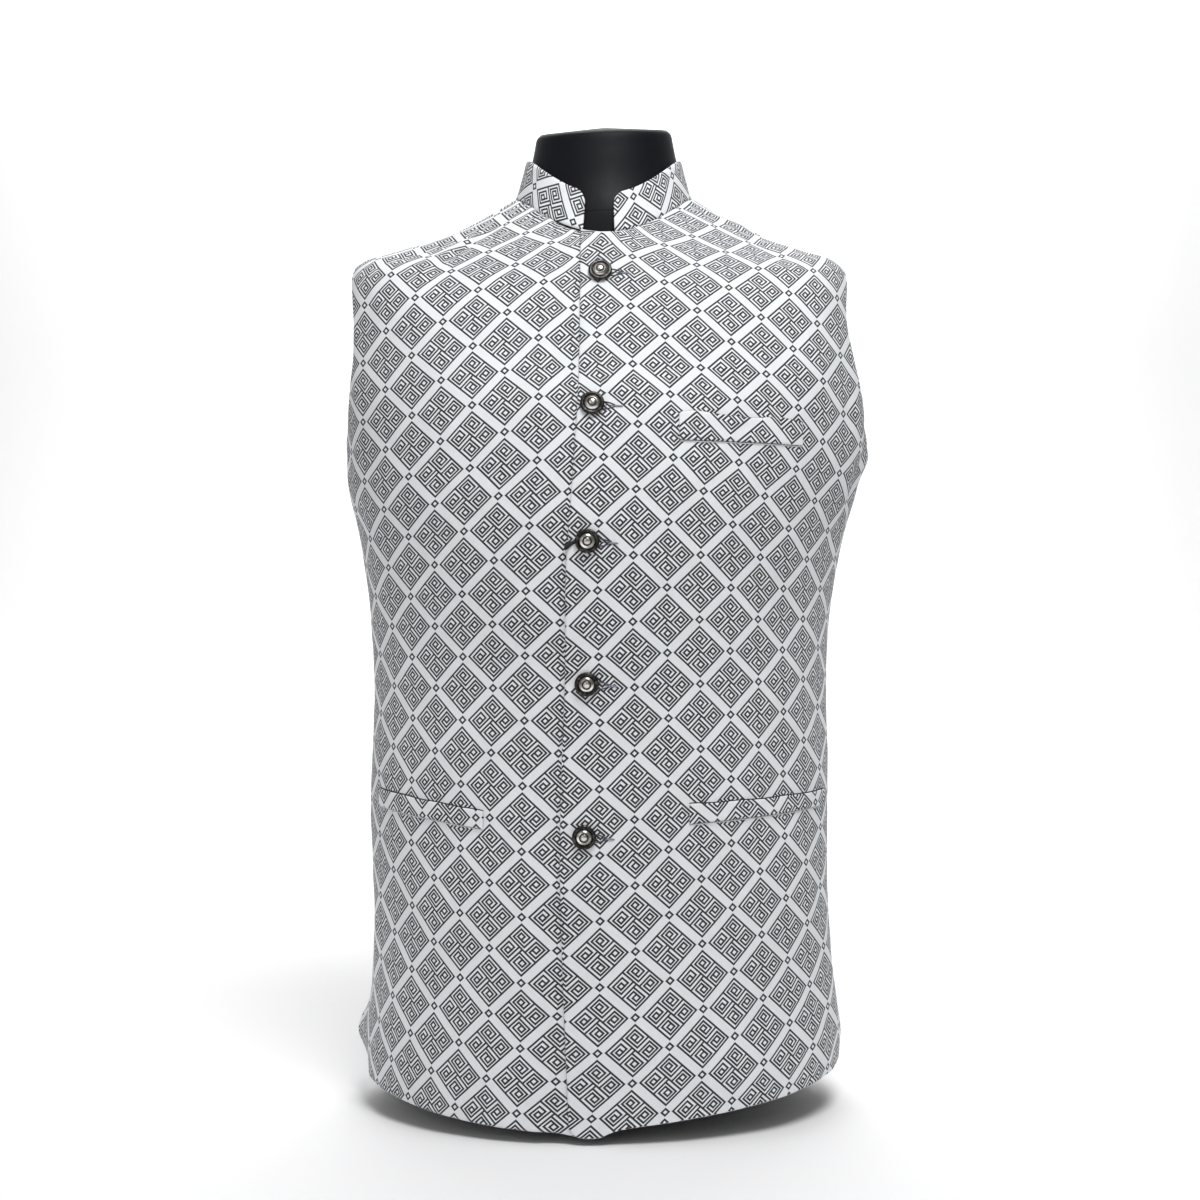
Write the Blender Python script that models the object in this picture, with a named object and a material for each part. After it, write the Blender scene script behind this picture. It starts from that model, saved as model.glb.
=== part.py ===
"""Sleeveless stand-collar jacket, buttoned, on a smooth black dress form without limbs.

Units are metres in the scene and millimetres in the tables. +Z is up, the front faces -Y
and +X is the viewer's right. The cloth is a thin wall round a table of sections. Each
section is a closed ring that may tilt, so that the rings run from the level hem over the
shoulders to the neckline.
"""

import math

import bpy
import numpy as np

MM = 0.001
# Middle of the whole jacket, seen from above, mm. It goes to the origin.
CENTRE_X = 4.27
CENTRE_Y = -12.38

# Cloth, seams and clearances, mm
CLOTH_WALL = 1.8
COLLAR_WALL = 2.2
SEAM_GAP = 0.3
LAP_GAP = 0.5
WELT_WALL = 1.2
WELT_GAP = 0.35

# Body sections of the jacket's outer face, from the hem to the neckline, mm
SECTION_COLUMNS = (
    "level", "half_width", "shift", "side_z", "front", "front_z", "back", "back_z", "roundness",
)
SECTIONS = (
    (0, 187.0, 1.0, 26, 121, 9, 118, 16, 2.10),
    (45, 188.0, 1.5, 55, 120, 46, 116, 50, 2.10),
    (90, 184.5, 1.0, 95, 119, 88, 113, 92, 2.10),
    (150, 181.5, -0.5, 150, 119, 146, 110, 150, 2.10),
    (250, 182.5, -2.0, 250, 121, 246, 106, 250, 2.10),
    (340, 180.5, -1.2, 340, 126, 334, 104, 344, 2.10),
    (400, 184.0, -2.0, 397, 133, 388, 106, 405, 2.12),
    (450, 192.5, -1.0, 450, 138, 436, 111, 462, 2.18),
    (490, 202.5, 0.5, 489, 139, 472, 115, 504, 2.25),
    (515, 205.5, 3.0, 514, 137, 494, 117, 532, 2.32),
    (570, 206.0, 2.5, 568, 129, 540, 119, 588, 2.45),
    (620, 202.5, -0.5, 618, 116, 578, 118, 644, 2.50),
    (660, 199.0, -1.5, 655, 103, 613, 110, 684, 2.50),
    (690, 189.5, -1.0, 668, 94, 634, 101, 703, 2.35),
    (727, 158.0, 0.0, 678.5, 87, 651, 87, 718, 2.20),
    (772, 113.0, 0.5, 695, 79.5, 667, 73, 733, 2.10),
    (815, 71.0, 1.5, 720, 72, 681, 59, 746, 2.00),
)
NECK_LEVEL = 815
TIP_LEVEL = 690
ARMPIT_LEVEL = 512
SIDE_SEAM_Y = 8.0
# How far the hem rises towards each side, and the dip at the over front's corner, mm
HEM_RISE_LEFT = -1.0
HEM_RISE_RIGHT = 13.0
HEM_FADE_LEVEL = 200.0
HEM_DIP = 3.5
HEM_DIP_X = -10.0
HEM_DIP_WIDTH = 16.0
HEM_DIP_FADE = 60.0

# Front and back edges of the armhole seen from the side, mm. The share runs from the
# armpit to the shoulder tip and is squared, so the bottom of the opening is round.
ARMHOLE_COLUMNS = ("share", "front_y", "back_y")
ARMHOLE = (
    (0.00, 7.7, 8.3),
    (0.10, -5.0, 22.0),
    (0.20, -17.0, 34.0),
    (0.30, -28.0, 45.0),
    (0.40, -38.0, 54.0),
    (0.50, -46.0, 61.0),
    (0.60, -52.0, 66.0),
    (0.70, -54.0, 68.5),
    (0.80, -50.0, 68.0),
    (0.88, -39.0, 60.0),
    (0.95, -22.0, 41.0),
    (1.00, -4.0, 20.0),
)
SHOULDER_SEAM_Y = 8.0
SHOULDER_SEAM_FADE = 14.0

# The visible edge of the over front, mm from the middle
EDGE_COLUMNS = ("height", "edge_x")
OVER_EDGE = (
    (0, -24.0),
    (78, -27.4),
    (136, -29.6),
    (202, -31.1),
    (283, -29.6),
    (342, -27.3),
    (429, -26.0),
    (472, -22.8),
    (546, -18.0),
    (681, -16.5),
)
UNDER_LAP = 44.0
UNDER_BEND = 26.0
UNDER_BEND_WIDTH = 15.0
OVER_CORNER_WIDTH = 10.0
OVER_CORNER_LEVEL = 8.0
OVER_CORNER_ROWS = (0.4, 1.3, 2.8, 5.0, 8.0)

# Soft folds of the outer face. The angle is in degrees from the side towards the front
# (negative) or the back (positive) on the named side, +1 being the viewer's right.
FOLD_COLUMNS = ("side", "angle", "level", "slant", "width", "length", "depth")
FOLDS = (
    (1, -22, 545, 0.05, 7, 55, 2.2),
    (1, 2, 512, 0.0, 12, 14, 3.0),
    (1, -35, 540, 0.10, 9, 60, -1.6),
    (-1, -24, 535, 0.05, 8, 45, 1.5),
    (1, 20, 480, 0.20, 10, 60, 1.8),
    (-1, 22, 470, 0.20, 10, 60, 1.8),
    (1, 48, 330, 0.15, 10, 90, -1.6),
    (-1, 46, 320, -0.15, 10, 90, -1.6),
    (1, 30, 120, 0.0, 9, 110, 2.6),
    (-1, 34, 110, 0.0, 9, 110, 2.6),
    (1, 62, 80, 0.0, 9, 90, -2.0),
    (-1, 66, 80, 0.0, 9, 90, -2.0),
    (-1, 9, 46, 0.0, 11, 26, 13.5),
    (1, 8, 30, 0.0, 9, 30, 3.0),
    (1, 0, 775, 0.0, 30, 13, 3.6),
)
VENT_LEVEL = 95.0
VENT_GAP = 2.5

# Rows and columns of the panels
LOWER_ROWS = 19
ARMHOLE_ROWS = 12
SHOULDER_ROWS = 8
FRONT_COLUMNS = 17
BACK_COLUMNS = 28

# Collar band, mm
COLLAR_HEIGHT = 31.0
COLLAR_HEIGHT_BACK = 36.0
COLLAR_LEAN = 9.0
COLLAR_LEAN_BACK = 3.0
COLLAR_CORNER = 9.5
COLLAR_LEFT_X = -14.8
COLLAR_RIGHT_X = 9.5
COLLAR_ROWS = 4

# Pocket welts: inner and outer end, top and bottom heights at each, mm
WELT_COLUMNS = ("name", "side", "inner_x", "inner_top", "inner_base", "outer_x", "outer_top", "outer_base", "bow")
WELTS = (
    ("welt_chest", 1, 55.8, 536.7, 516.0, 148.0, 532.0, 514.2, 1.0),
    ("welt_right", 1, 64.0, 250.0, 235.3, 172.0, 253.0, 241.5, 0.0),
    ("welt_left", -1, 88.0, 244.0, 230.7, 172.0, 254.5, 241.0, 0.0),
)
WELT_LENGTHS = 14
WELT_HEIGHTS = 2

# Buttons, mm: middle of each on the over front
BUTTON_COLUMNS = ("x", "height")
BUTTONS = (
    (-1.5, 647.0),
    (-7.3, 542.5),
    (-10.8, 442.6),
    (-11.3, 338.8),
    (-13.2, 226.5),
)
BUTTON_RADIUS = 8.9
BUTTON_STANDOFF = 0.35
BUTTON_SEGMENTS = 20
BUTTON_PROFILE_COLUMNS = ("radius", "height")
BUTTON_PROFILE = (
    (0.55, 0.0),
    (0.92, 0.9),
    (1.00, 1.7),
    (0.97, 2.6),
    (0.86, 3.1),
    (0.72, 3.4),
    (0.52, 4.5),
    (0.27, 5.2),
)
BUTTON_TOP = 5.4

# Dress form: how far it lies inside the jacket's outer face, mm
EASE_COLUMNS = ("level", "inset")
EASE = (
    (20, 14.0),
    (70, 13.0),
    (150, 11.0),
    (250, 8.5),
    (350, 7.0),
    (450, 6.5),
    (520, 6.5),
    (600, 5.5),
    (650, 4.6),
    (690, 3.6),
    (727, 2.6),
    (772, 2.6),
    (800, 3.4),
    (815, 3.6),
)
ARM_PLATE_X = 177.0
ARM_PLATE_SOFT = 4.0
FORM_SEGMENTS = 44
FRONT_EASE = 3.6
FRONT_EASE_SPREAD = 0.55
FOOT_HALF_WIDTH = 104.0
FOOT_FRONT = 60.0
FOOT_BACK = 74.0
NECK_COLUMNS = ("front_z", "side_z", "back_z", "half_width", "front", "back")
NECK = (
    (700, 737, 757, 62.5, 63.5, 53.5),
    (725, 752, 768, 58.0, 57.5, 50.0),
    (748, 765, 779, 55.3, 54.5, 48.0),
    (760, 771.5, 783.5, 53.8, 52.8, 46.8),
    (763.5, 775, 786.5, 50.5, 49.5, 43.8),
)
NECK_TOP_Z = 775.5
NECK_MIDDLE_X = 1.5
NECK_TILT = 0.037
NECK_TILT_START = 700.0


def column(table, columns, name):
    """One named column of a table as numbers."""
    return np.array([row[columns.index(name)] for row in table], dtype=float)


def smooth(keys, values, at):
    """A smooth curve through the values at the keys, flat beyond both ends."""
    keys = np.asarray(keys, dtype=float)
    values = np.asarray(values, dtype=float)
    at = np.clip(np.asarray(at, dtype=float), keys[0], keys[-1])
    steps = np.diff(keys)
    slopes = np.diff(values) / steps
    tangent = np.empty(len(keys))
    tangent[0] = slopes[0]
    tangent[-1] = slopes[-1]
    tangent[1:-1] = (slopes[:-1] * steps[1:] + slopes[1:] * steps[:-1]) / (steps[:-1] + steps[1:])
    index = np.clip(np.searchsorted(keys, at, side="right") - 1, 0, len(steps) - 1)
    share = (at - keys[index]) / steps[index]
    start = (1 + 2 * share) * (1 - share) ** 2 * values[index]
    leave = share * (1 - share) ** 2 * steps[index] * tangent[index]
    end = share**2 * (3 - 2 * share) * values[index + 1]
    arrive = share**2 * (share - 1) * steps[index] * tangent[index + 1]
    return start + leave + end + arrive


def ease_in(value):
    """0 below 0, 1 above 1 and a soft step between."""
    share = np.clip(value, 0.0, 1.0)
    return share * share * (3 - 2 * share)


def section(name, level):
    """One measure of the body sections at a level."""
    keys = column(SECTIONS, SECTION_COLUMNS, "level")
    return smooth(keys, column(SECTIONS, SECTION_COLUMNS, name), level)


def signed_power(value, power):
    return np.sign(value) * np.abs(value) ** power


def body_surface(level, angle):
    """Points of the smooth body outline, mm. Angle 0 is the viewer's right, -90 the front."""
    level = np.asarray(level, dtype=float)
    angle = np.asarray(angle, dtype=float)
    power = 2.0 / section("roundness", level)
    across = np.cos(angle)
    along = np.sin(angle)
    at_front = along < 0
    depth = np.where(at_front, section("front", level), section("back", level))
    end_z = np.where(at_front, section("front_z", level), section("back_z", level))
    side_z = section("side_z", level)
    x = section("shift", level) + section("half_width", level) * signed_power(across, power)
    y = depth * signed_power(along, power)
    z = side_z + (end_z - side_z) * along**2
    return np.stack([x, y, z], axis=-1)


def surface(level, angle):
    """Points of the jacket's outer face, mm: the body outline with the hem's rise and dip."""
    points = body_surface(level, angle)
    across = np.cos(angle)
    away = np.abs(across)
    rise = np.where(across < 0, HEM_RISE_LEFT, HEM_RISE_RIGHT) * np.sqrt(away) * (1 - 0.4 * away**2)
    dip = HEM_DIP * np.exp(-(((points[..., 0] - HEM_DIP_X) / HEM_DIP_WIDTH) ** 2))
    dip = np.where(np.sin(angle) < 0, dip, 0)
    points[..., 2] += rise * (1 - ease_in(level / HEM_FADE_LEVEL))
    points[..., 2] -= dip * (1 - ease_in(level / HEM_DIP_FADE))
    return points


def outward(level, angle, shape=surface):
    """Unit normals of the outer face."""
    up = shape(level + 0.5, angle) - shape(level - 0.5, angle)
    round_it = shape(level, angle + 0.004) - shape(level, angle - 0.004)
    normal = np.cross(round_it, up)
    return normal / np.linalg.norm(normal, axis=-1, keepdims=True)


def fold_height(level, angle):
    """How far the soft folds stand out from the smooth face, mm."""
    total = np.zeros(np.broadcast(level, angle).shape)
    for row in FOLDS:
        fold = dict(zip(FOLD_COLUMNS, row))
        middle = math.radians(fold["angle"])
        if fold["side"] < 0:
            turned = np.angle(np.exp(1j * (math.pi - angle - middle)))
        else:
            turned = np.angle(np.exp(1j * (angle - middle)))
        rise = level - fold["level"]
        spread = np.degrees(turned) - fold["slant"] * rise * 0.3
        shape = np.exp(-((spread / fold["width"]) ** 2) - (rise / fold["length"]) ** 2)
        total = total + fold["depth"] * shape
    return total


def angle_at_x(level, x):
    """Angle on the front of a section where it lies at x."""
    half = section("half_width", level)
    offset = x - section("shift", level)
    share = np.clip(np.abs(offset) / half, 0, 1) ** (section("roundness", level) / 2)
    return -math.pi / 2 + np.sign(offset) * np.arcsin(share)


def angle_at_y(level, y, side):
    """Angle near a side of a section where it lies at y."""
    depth = np.where(y < 0, section("front", level), section("back", level))
    share = np.clip(np.abs(y) / depth, 0, 1) ** (section("roundness", level) / 2)
    turn = np.sign(y) * np.arcsin(share)
    return np.where(side > 0, turn, math.pi - turn)


def panel_levels(corner_rows=()):
    """Levels of a panel's rows: body, armhole (finer at the armpit) and shoulder."""
    body = np.linspace(0, ARMPIT_LEVEL, LOWER_ROWS + 1)[:-1]
    body = np.sort(np.concatenate([body, corner_rows]))
    share = np.linspace(0, 1, ARMHOLE_ROWS + 1)[:-1]
    armhole = ARMPIT_LEVEL + (TIP_LEVEL - ARMPIT_LEVEL) * share**2
    shoulder = np.linspace(TIP_LEVEL, NECK_LEVEL, SHOULDER_ROWS + 1)
    return np.concatenate([body, armhole, shoulder])


def outer_y(levels, at_front):
    """Where a panel ends at its side: side seam, then armhole, then shoulder seam."""
    share = np.sqrt(np.clip((levels - ARMPIT_LEVEL) / (TIP_LEVEL - ARMPIT_LEVEL), 0, 1))
    keys = column(ARMHOLE, ARMHOLE_COLUMNS, "share")
    name = "front_y" if at_front else "back_y"
    armhole = smooth(keys, column(ARMHOLE, ARMHOLE_COLUMNS, name), share)
    sign = -1 if at_front else 1
    half_gap = SEAM_GAP / 2 * sign
    vent = VENT_GAP / 2 * (1 - ease_in(levels / VENT_LEVEL)) * sign
    side = SIDE_SEAM_Y + half_gap + vent
    reach = (levels - TIP_LEVEL) / SHOULDER_SEAM_FADE
    shoulder = SHOULDER_SEAM_Y + half_gap + (armhole[-1] - SHOULDER_SEAM_Y - half_gap) * np.exp(
        -np.clip(reach, 0, None)
    )
    y = np.where(levels < ARMPIT_LEVEL, side, armhole)
    return np.where(levels >= TIP_LEVEL, shoulder, y)


def spread(levels, start, end, count, wanted=None):
    """Angles of each row between its two ends, even along the row's length."""
    angles = np.empty((len(levels), count + 1))
    wanted = np.linspace(0, 1, count + 1) if wanted is None else wanted
    for row, level in enumerate(levels):
        fine = np.linspace(start[row], end[row], 160)
        points = surface(np.full(160, level), fine)
        length = np.concatenate([[0], np.cumsum(np.linalg.norm(np.diff(points, axis=0), axis=1))])
        angles[row] = np.interp(wanted * length[-1], length, fine)
    return angles


def over_edge_x(height):
    keys = column(OVER_EDGE, EDGE_COLUMNS, "height")
    return smooth(keys, column(OVER_EDGE, EDGE_COLUMNS, "edge_x"), height)


def front_angles(side):
    """Row levels and angles of one front, from its middle edge to its side."""
    levels = panel_levels(OVER_CORNER_ROWS if side > 0 else ())
    edge = over_edge_x(section("front_z", levels))
    if side < 0:
        edge = edge + UNDER_LAP
    else:
        rise = np.clip(1 - levels / OVER_CORNER_LEVEL, 0, 1)
        edge = edge + OVER_CORNER_WIDTH * (1 - np.sqrt(1 - rise**2 * 0.999))
    start = angle_at_x(levels, edge)
    end = angle_at_y(levels, outer_y(levels, True), side)
    if side < 0:
        end = end - 2 * math.pi
    return levels, spread(levels, start, end, FRONT_COLUMNS)


def back_angles():
    levels = panel_levels()
    start = angle_at_y(levels, outer_y(levels, False), 1)
    end = angle_at_y(levels, outer_y(levels, False), -1)
    return levels, spread(levels, start, end, BACK_COLUMNS)


def under_sink(points):
    """How far the under front dips to pass beneath the over front, mm."""
    reach = points[..., 0] - over_edge_x(points[..., 2]) + UNDER_BEND
    return (CLOTH_WALL + LAP_GAP) * ease_in(reach / UNDER_BEND_WIDTH)


def cloth_faces(levels, angles, sink=None):
    """Outer and inner points of a panel."""
    level_grid = np.repeat(levels[:, None], angles.shape[1], axis=1)
    points = surface(level_grid, angles)
    normals = outward(level_grid, angles)
    lift = fold_height(level_grid, angles)
    if sink is not None:
        lift = lift - sink(points)
    outer = points + normals * lift[..., None]
    return outer, outer - normals * CLOTH_WALL


def on_front(x, z):
    """Level, angle, point and normal of the front face at x and height z."""
    x = np.asarray(x, dtype=float)
    z = np.asarray(z, dtype=float)
    level = np.array(z, dtype=float)
    for _ in range(40):
        angle = angle_at_x(level, x)
        level = level + 0.8 * (z - surface(level, angle)[..., 2])
    angle = angle_at_x(level, x)
    normal = outward(level, angle)
    lift = fold_height(level, angle)[..., None]
    return surface(level, angle) + normal * lift, normal


def add_solid(name, points, faces, material):
    """A closed mesh object from points in mm, turned so that its faces look outwards."""
    points = (np.asarray(points, dtype=float) - (CENTRE_X, CENTRE_Y, 0)) * MM
    volume = 0.0
    for face in faces:
        for second in range(1, len(face) - 1):
            corners = points[[face[0], face[second], face[second + 1]]]
            volume += float(np.dot(corners[0], np.cross(corners[1], corners[2])))
    if volume < 0:
        faces = [tuple(reversed(face)) for face in faces]
    mesh = bpy.data.meshes.new(name)
    mesh.from_pydata([tuple(point) for point in points], [], [tuple(face) for face in faces])
    mesh.validate()
    mesh.update()
    mesh.materials.append(material)
    thing = bpy.data.objects.new(name, mesh)
    bpy.context.scene.collection.objects.link(thing)
    return thing


def wall_solid(name, outer, inner, material):
    """A thin wall between two grids of points."""
    rows, columns = outer.shape[:2]
    points = np.concatenate([outer.reshape(-1, 3), inner.reshape(-1, 3)])
    offset = rows * columns
    faces = []
    for row in range(rows - 1):
        for place in range(columns - 1):
            first = row * columns + place
            quad = (first, first + 1, first + columns + 1, first + columns)
            faces.append(quad)
            faces.append(tuple(offset + corner for corner in reversed(quad)))
    rim = [place for place in range(columns)]
    rim += [row * columns + columns - 1 for row in range(1, rows)]
    rim += [(rows - 1) * columns + place for place in range(columns - 2, -1, -1)]
    rim += [row * columns for row in range(rows - 2, 0, -1)]
    for place, corner in enumerate(rim):
        following = rim[(place + 1) % len(rim)]
        faces.append((following, corner, corner + offset, following + offset))
    return add_solid(name, points, faces, material)


def ringed_solid(name, rings, bottom, top, material):
    """A solid of closed rings with a middle point at each end."""
    count = rings.shape[1]
    points = np.concatenate([rings.reshape(-1, 3), [bottom], [top]])
    low = len(points) - 2
    high = len(points) - 1
    faces = []
    for ring in range(rings.shape[0] - 1):
        for place in range(count):
            following = (place + 1) % count
            first = ring * count
            second = first + count
            faces.append((first + place, first + following, second + following, second + place))
    last = (rings.shape[0] - 1) * count
    for place in range(count):
        following = (place + 1) % count
        faces.append((following, place, low))
        faces.append((last + place, last + following, high))
    return add_solid(name, points, faces, material)


def make_material(name, colour, roughness, metallic=0.0):
    material = bpy.data.materials.new(name)
    material.use_nodes = True
    shader = material.node_tree.nodes["Principled BSDF"]
    shader.inputs["Base Color"].default_value = (*colour, 1.0)
    shader.inputs["Roughness"].default_value = roughness
    shader.inputs["Metallic"].default_value = metallic
    return material


def build_fronts():
    levels, angles = front_angles(1)
    outer, inner = cloth_faces(levels, angles)
    cloth = make_material("front_left_cloth", (0.78, 0.79, 0.82), 0.6)
    wall_solid("front_left", outer, inner, cloth)
    levels, angles = front_angles(-1)
    outer, inner = cloth_faces(levels, angles, under_sink)
    cloth = make_material("front_right_cloth", (0.78, 0.79, 0.82), 0.6)
    wall_solid("front_right", outer, inner, cloth)


def build_back():
    levels, angles = back_angles()
    outer, inner = cloth_faces(levels, angles)
    wall_solid("back", outer, inner, make_material("back_cloth", (0.78, 0.79, 0.82), 0.6))


def collar_angles():
    """Angles along the neckline, finer at the two rounded front corners."""
    level = np.array([float(NECK_LEVEL)])
    start = angle_at_x(level, np.array([COLLAR_RIGHT_X]))
    end = angle_at_x(level, np.array([COLLAR_LEFT_X])) + 2 * math.pi
    fine = np.linspace(start[0], end[0], 600)
    points = surface(np.full(600, float(NECK_LEVEL)), fine)
    length = np.concatenate([[0], np.cumsum(np.linalg.norm(np.diff(points, axis=0), axis=1))])
    corner = np.array([0.0, 0.5, 1.6, 3.4, 6.0, 9.5])
    middle = np.linspace(corner[-1], length[-1] - corner[-1], 36)[1:-1]
    wanted = np.concatenate([corner, middle, (length[-1] - corner)[::-1]])
    return np.interp(wanted, length, fine), wanted, length[-1]


def build_collar():
    angles, along, total = collar_angles()
    level = np.full(len(angles), float(NECK_LEVEL))
    base = surface(level, angles)
    middle = np.array([section("shift", NECK_LEVEL), 0.0, 0.0])
    flat = base - middle
    flat[:, 2] = 0
    out = flat / np.linalg.norm(flat, axis=1, keepdims=True)
    at_back = np.clip(np.sin(angles), 0, 1)
    height = COLLAR_HEIGHT + (COLLAR_HEIGHT_BACK - COLLAR_HEIGHT) * at_back
    lean = COLLAR_LEAN + (COLLAR_LEAN_BACK - COLLAR_LEAN) * at_back
    from_end = np.clip(np.minimum(along, total - along), 0, COLLAR_CORNER)
    cut = COLLAR_CORNER - np.sqrt(COLLAR_CORNER**2 - (COLLAR_CORNER - from_end) ** 2)
    outer = []
    inner = []
    for row in range(COLLAR_ROWS + 1):
        share = row / COLLAR_ROWS
        rise = (height - cut) * share
        inward = lean * (rise / height)
        point = base - out * inward[:, None]
        point[:, 2] = base[:, 2] + SEAM_GAP * 1.5 + rise
        outer.append(point)
        inner.append(point - out * COLLAR_WALL)
    cloth = make_material("collar_cloth", (0.78, 0.79, 0.82), 0.6)
    wall_solid("collar", np.array(outer), np.array(inner), cloth)


def build_welts():
    for row in WELTS:
        welt = dict(zip(WELT_COLUMNS, row))
        along = np.linspace(0, 1, WELT_LENGTHS + 1)[None, :]
        up = np.linspace(0, 1, WELT_HEIGHTS + 1)[:, None]
        base = welt["inner_base"] + (welt["outer_base"] - welt["inner_base"]) * along
        top = welt["inner_top"] + (welt["outer_top"] - welt["inner_top"]) * along
        top = top + welt["bow"] * np.sin(along * 3 * math.pi)
        x = welt["side"] * (welt["inner_x"] + (welt["outer_x"] - welt["inner_x"]) * along)
        x = np.repeat(x, WELT_HEIGHTS + 1, axis=0)
        points, normals = on_front(x, base + (top - base) * up)
        inner = points + normals * WELT_GAP
        outer = inner + normals * WELT_WALL
        cloth = make_material(welt["name"] + "_cloth", (0.74, 0.75, 0.79), 0.6)
        wall_solid(welt["name"], outer, inner, cloth)


def build_buttons():
    turn = np.linspace(0, 2 * math.pi, BUTTON_SEGMENTS, endpoint=False)
    radius = column(BUTTON_PROFILE, BUTTON_PROFILE_COLUMNS, "radius") * BUTTON_RADIUS
    height = column(BUTTON_PROFILE, BUTTON_PROFILE_COLUMNS, "height")
    for number, row in enumerate(BUTTONS, start=1):
        button = dict(zip(BUTTON_COLUMNS, row))
        point, normal = on_front(button["x"], button["height"])
        right = np.cross(np.array([0.0, 0.0, 1.0]), normal)
        right = right / np.linalg.norm(right)
        up = np.cross(normal, right)
        circle = np.cos(turn)[:, None] * right + np.sin(turn)[:, None] * up
        foot = point + normal * BUTTON_STANDOFF
        rings = foot + radius[:, None, None] * circle[None] + height[:, None, None] * normal
        metal = make_material("button_%d_metal" % number, (0.45, 0.44, 0.42), 0.3, 1.0)
        ringed_solid("button_%d" % number, rings, foot, foot + normal * BUTTON_TOP, metal)


def form_levels():
    """Levels of the dress form's rings, closer where the neck meets the shoulders."""
    body = np.linspace(20, 512, 15)
    chest = np.linspace(545, 690, 7)
    shoulder = np.linspace(703, 790, 7)
    return np.concatenate([body, chest, shoulder, [797, 803, 809, 815]])


def build_form():
    turn = np.linspace(0, 2 * math.pi, FORM_SEGMENTS, endpoint=False)
    along = np.sin(turn)
    at_front = along < 0
    levels = form_levels()
    level_grid = np.repeat(levels[:, None], FORM_SEGMENTS, axis=1)
    turn_grid = np.repeat(turn[None, :], len(levels), axis=0)
    inset = smooth(column(EASE, EASE_COLUMNS, "level"), column(EASE, EASE_COLUMNS, "inset"), level_grid)
    inset = inset + FRONT_EASE * np.exp(-(((turn_grid - 1.5 * math.pi) / FRONT_EASE_SPREAD) ** 2))
    normals = outward(level_grid, turn_grid, body_surface)
    rings = body_surface(level_grid, turn_grid) - normals * inset[..., None]
    reach = np.abs(rings[..., 0])
    held = -ARM_PLATE_SOFT * np.logaddexp(-reach / ARM_PLATE_SOFT, -ARM_PLATE_X / ARM_PLATE_SOFT)
    rings[..., 0] = np.sign(rings[..., 0]) * np.clip(held, 0, None)
    foot_depth = np.where(at_front, FOOT_FRONT, FOOT_BACK)
    foot = np.stack([FOOT_HALF_WIDTH * np.cos(turn), foot_depth * along, 0 * turn], axis=-1)
    neck = []
    for row in NECK:
        size = dict(zip(NECK_COLUMNS, row))
        end_z = np.where(at_front, size["front_z"], size["back_z"])
        depth = np.where(at_front, size["front"], size["back"])
        x = size["half_width"] * np.cos(turn)
        z = size["side_z"] + (end_z - size["side_z"]) * np.abs(along)
        tilt = NECK_TILT * x * ease_in((z - NECK_TILT_START) / 60)
        neck.append(np.stack([NECK_MIDDLE_X + x, depth * along, z + tilt], axis=-1))
    rings = np.concatenate([foot[None], rings, np.array(neck)])
    bottom = np.array([0.0, 0.0, 0.0])
    top = np.array([NECK_MIDDLE_X, 0.0, NECK_TOP_Z])
    black = make_material("form_black", (0.012, 0.013, 0.018), 0.45)
    ringed_solid("dress_form", rings, bottom, top, black)


def main():
    for thing in list(bpy.data.objects):
        bpy.data.objects.remove(thing, do_unlink=True)
    build_form()
    build_fronts()
    build_back()
    build_collar()
    build_welts()
    build_buttons()


if __name__ == "__main__":
    main()
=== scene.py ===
"""Looks of a buttoned stand-collar jacket on a smooth dress form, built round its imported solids.

Lengths are millimetres in the tables and metres in the scene. +Z is up, the front faces -Y and
+X is the viewer's right. The cloth is a thin shell round a table of body sections. Its print is
drawn by shader nodes from the place of each point on the flat cloth, held in the UV map.
"""

import math

import bpy
import numpy as np
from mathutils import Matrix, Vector


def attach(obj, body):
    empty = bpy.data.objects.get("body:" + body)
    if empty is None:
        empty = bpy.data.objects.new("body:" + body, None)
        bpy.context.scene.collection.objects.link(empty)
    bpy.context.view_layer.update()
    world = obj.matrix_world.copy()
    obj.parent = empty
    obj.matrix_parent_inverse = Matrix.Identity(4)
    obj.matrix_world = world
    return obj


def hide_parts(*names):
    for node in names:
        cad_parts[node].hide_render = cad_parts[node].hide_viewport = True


bl_info = {
    "name": "Stand-collar jacket on a dress form",
    "version": (1, 0, 0),
    "blender": (4, 5, 0),
    "location": "View3D > Sidebar > Jacket",
    "description": "Adds the cloth, buttons, dress form and stage of a printed sleeveless jacket",
    "category": "Add Mesh",
}

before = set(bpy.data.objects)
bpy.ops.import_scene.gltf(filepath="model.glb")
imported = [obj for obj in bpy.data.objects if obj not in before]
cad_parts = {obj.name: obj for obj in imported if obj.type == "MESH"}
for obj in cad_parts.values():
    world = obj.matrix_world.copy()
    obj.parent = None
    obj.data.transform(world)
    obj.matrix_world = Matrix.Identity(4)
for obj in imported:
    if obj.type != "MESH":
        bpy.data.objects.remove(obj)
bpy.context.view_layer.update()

MM = 0.001
CENTRE_X = 4.27
CENTRE_Y = -12.38

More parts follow.
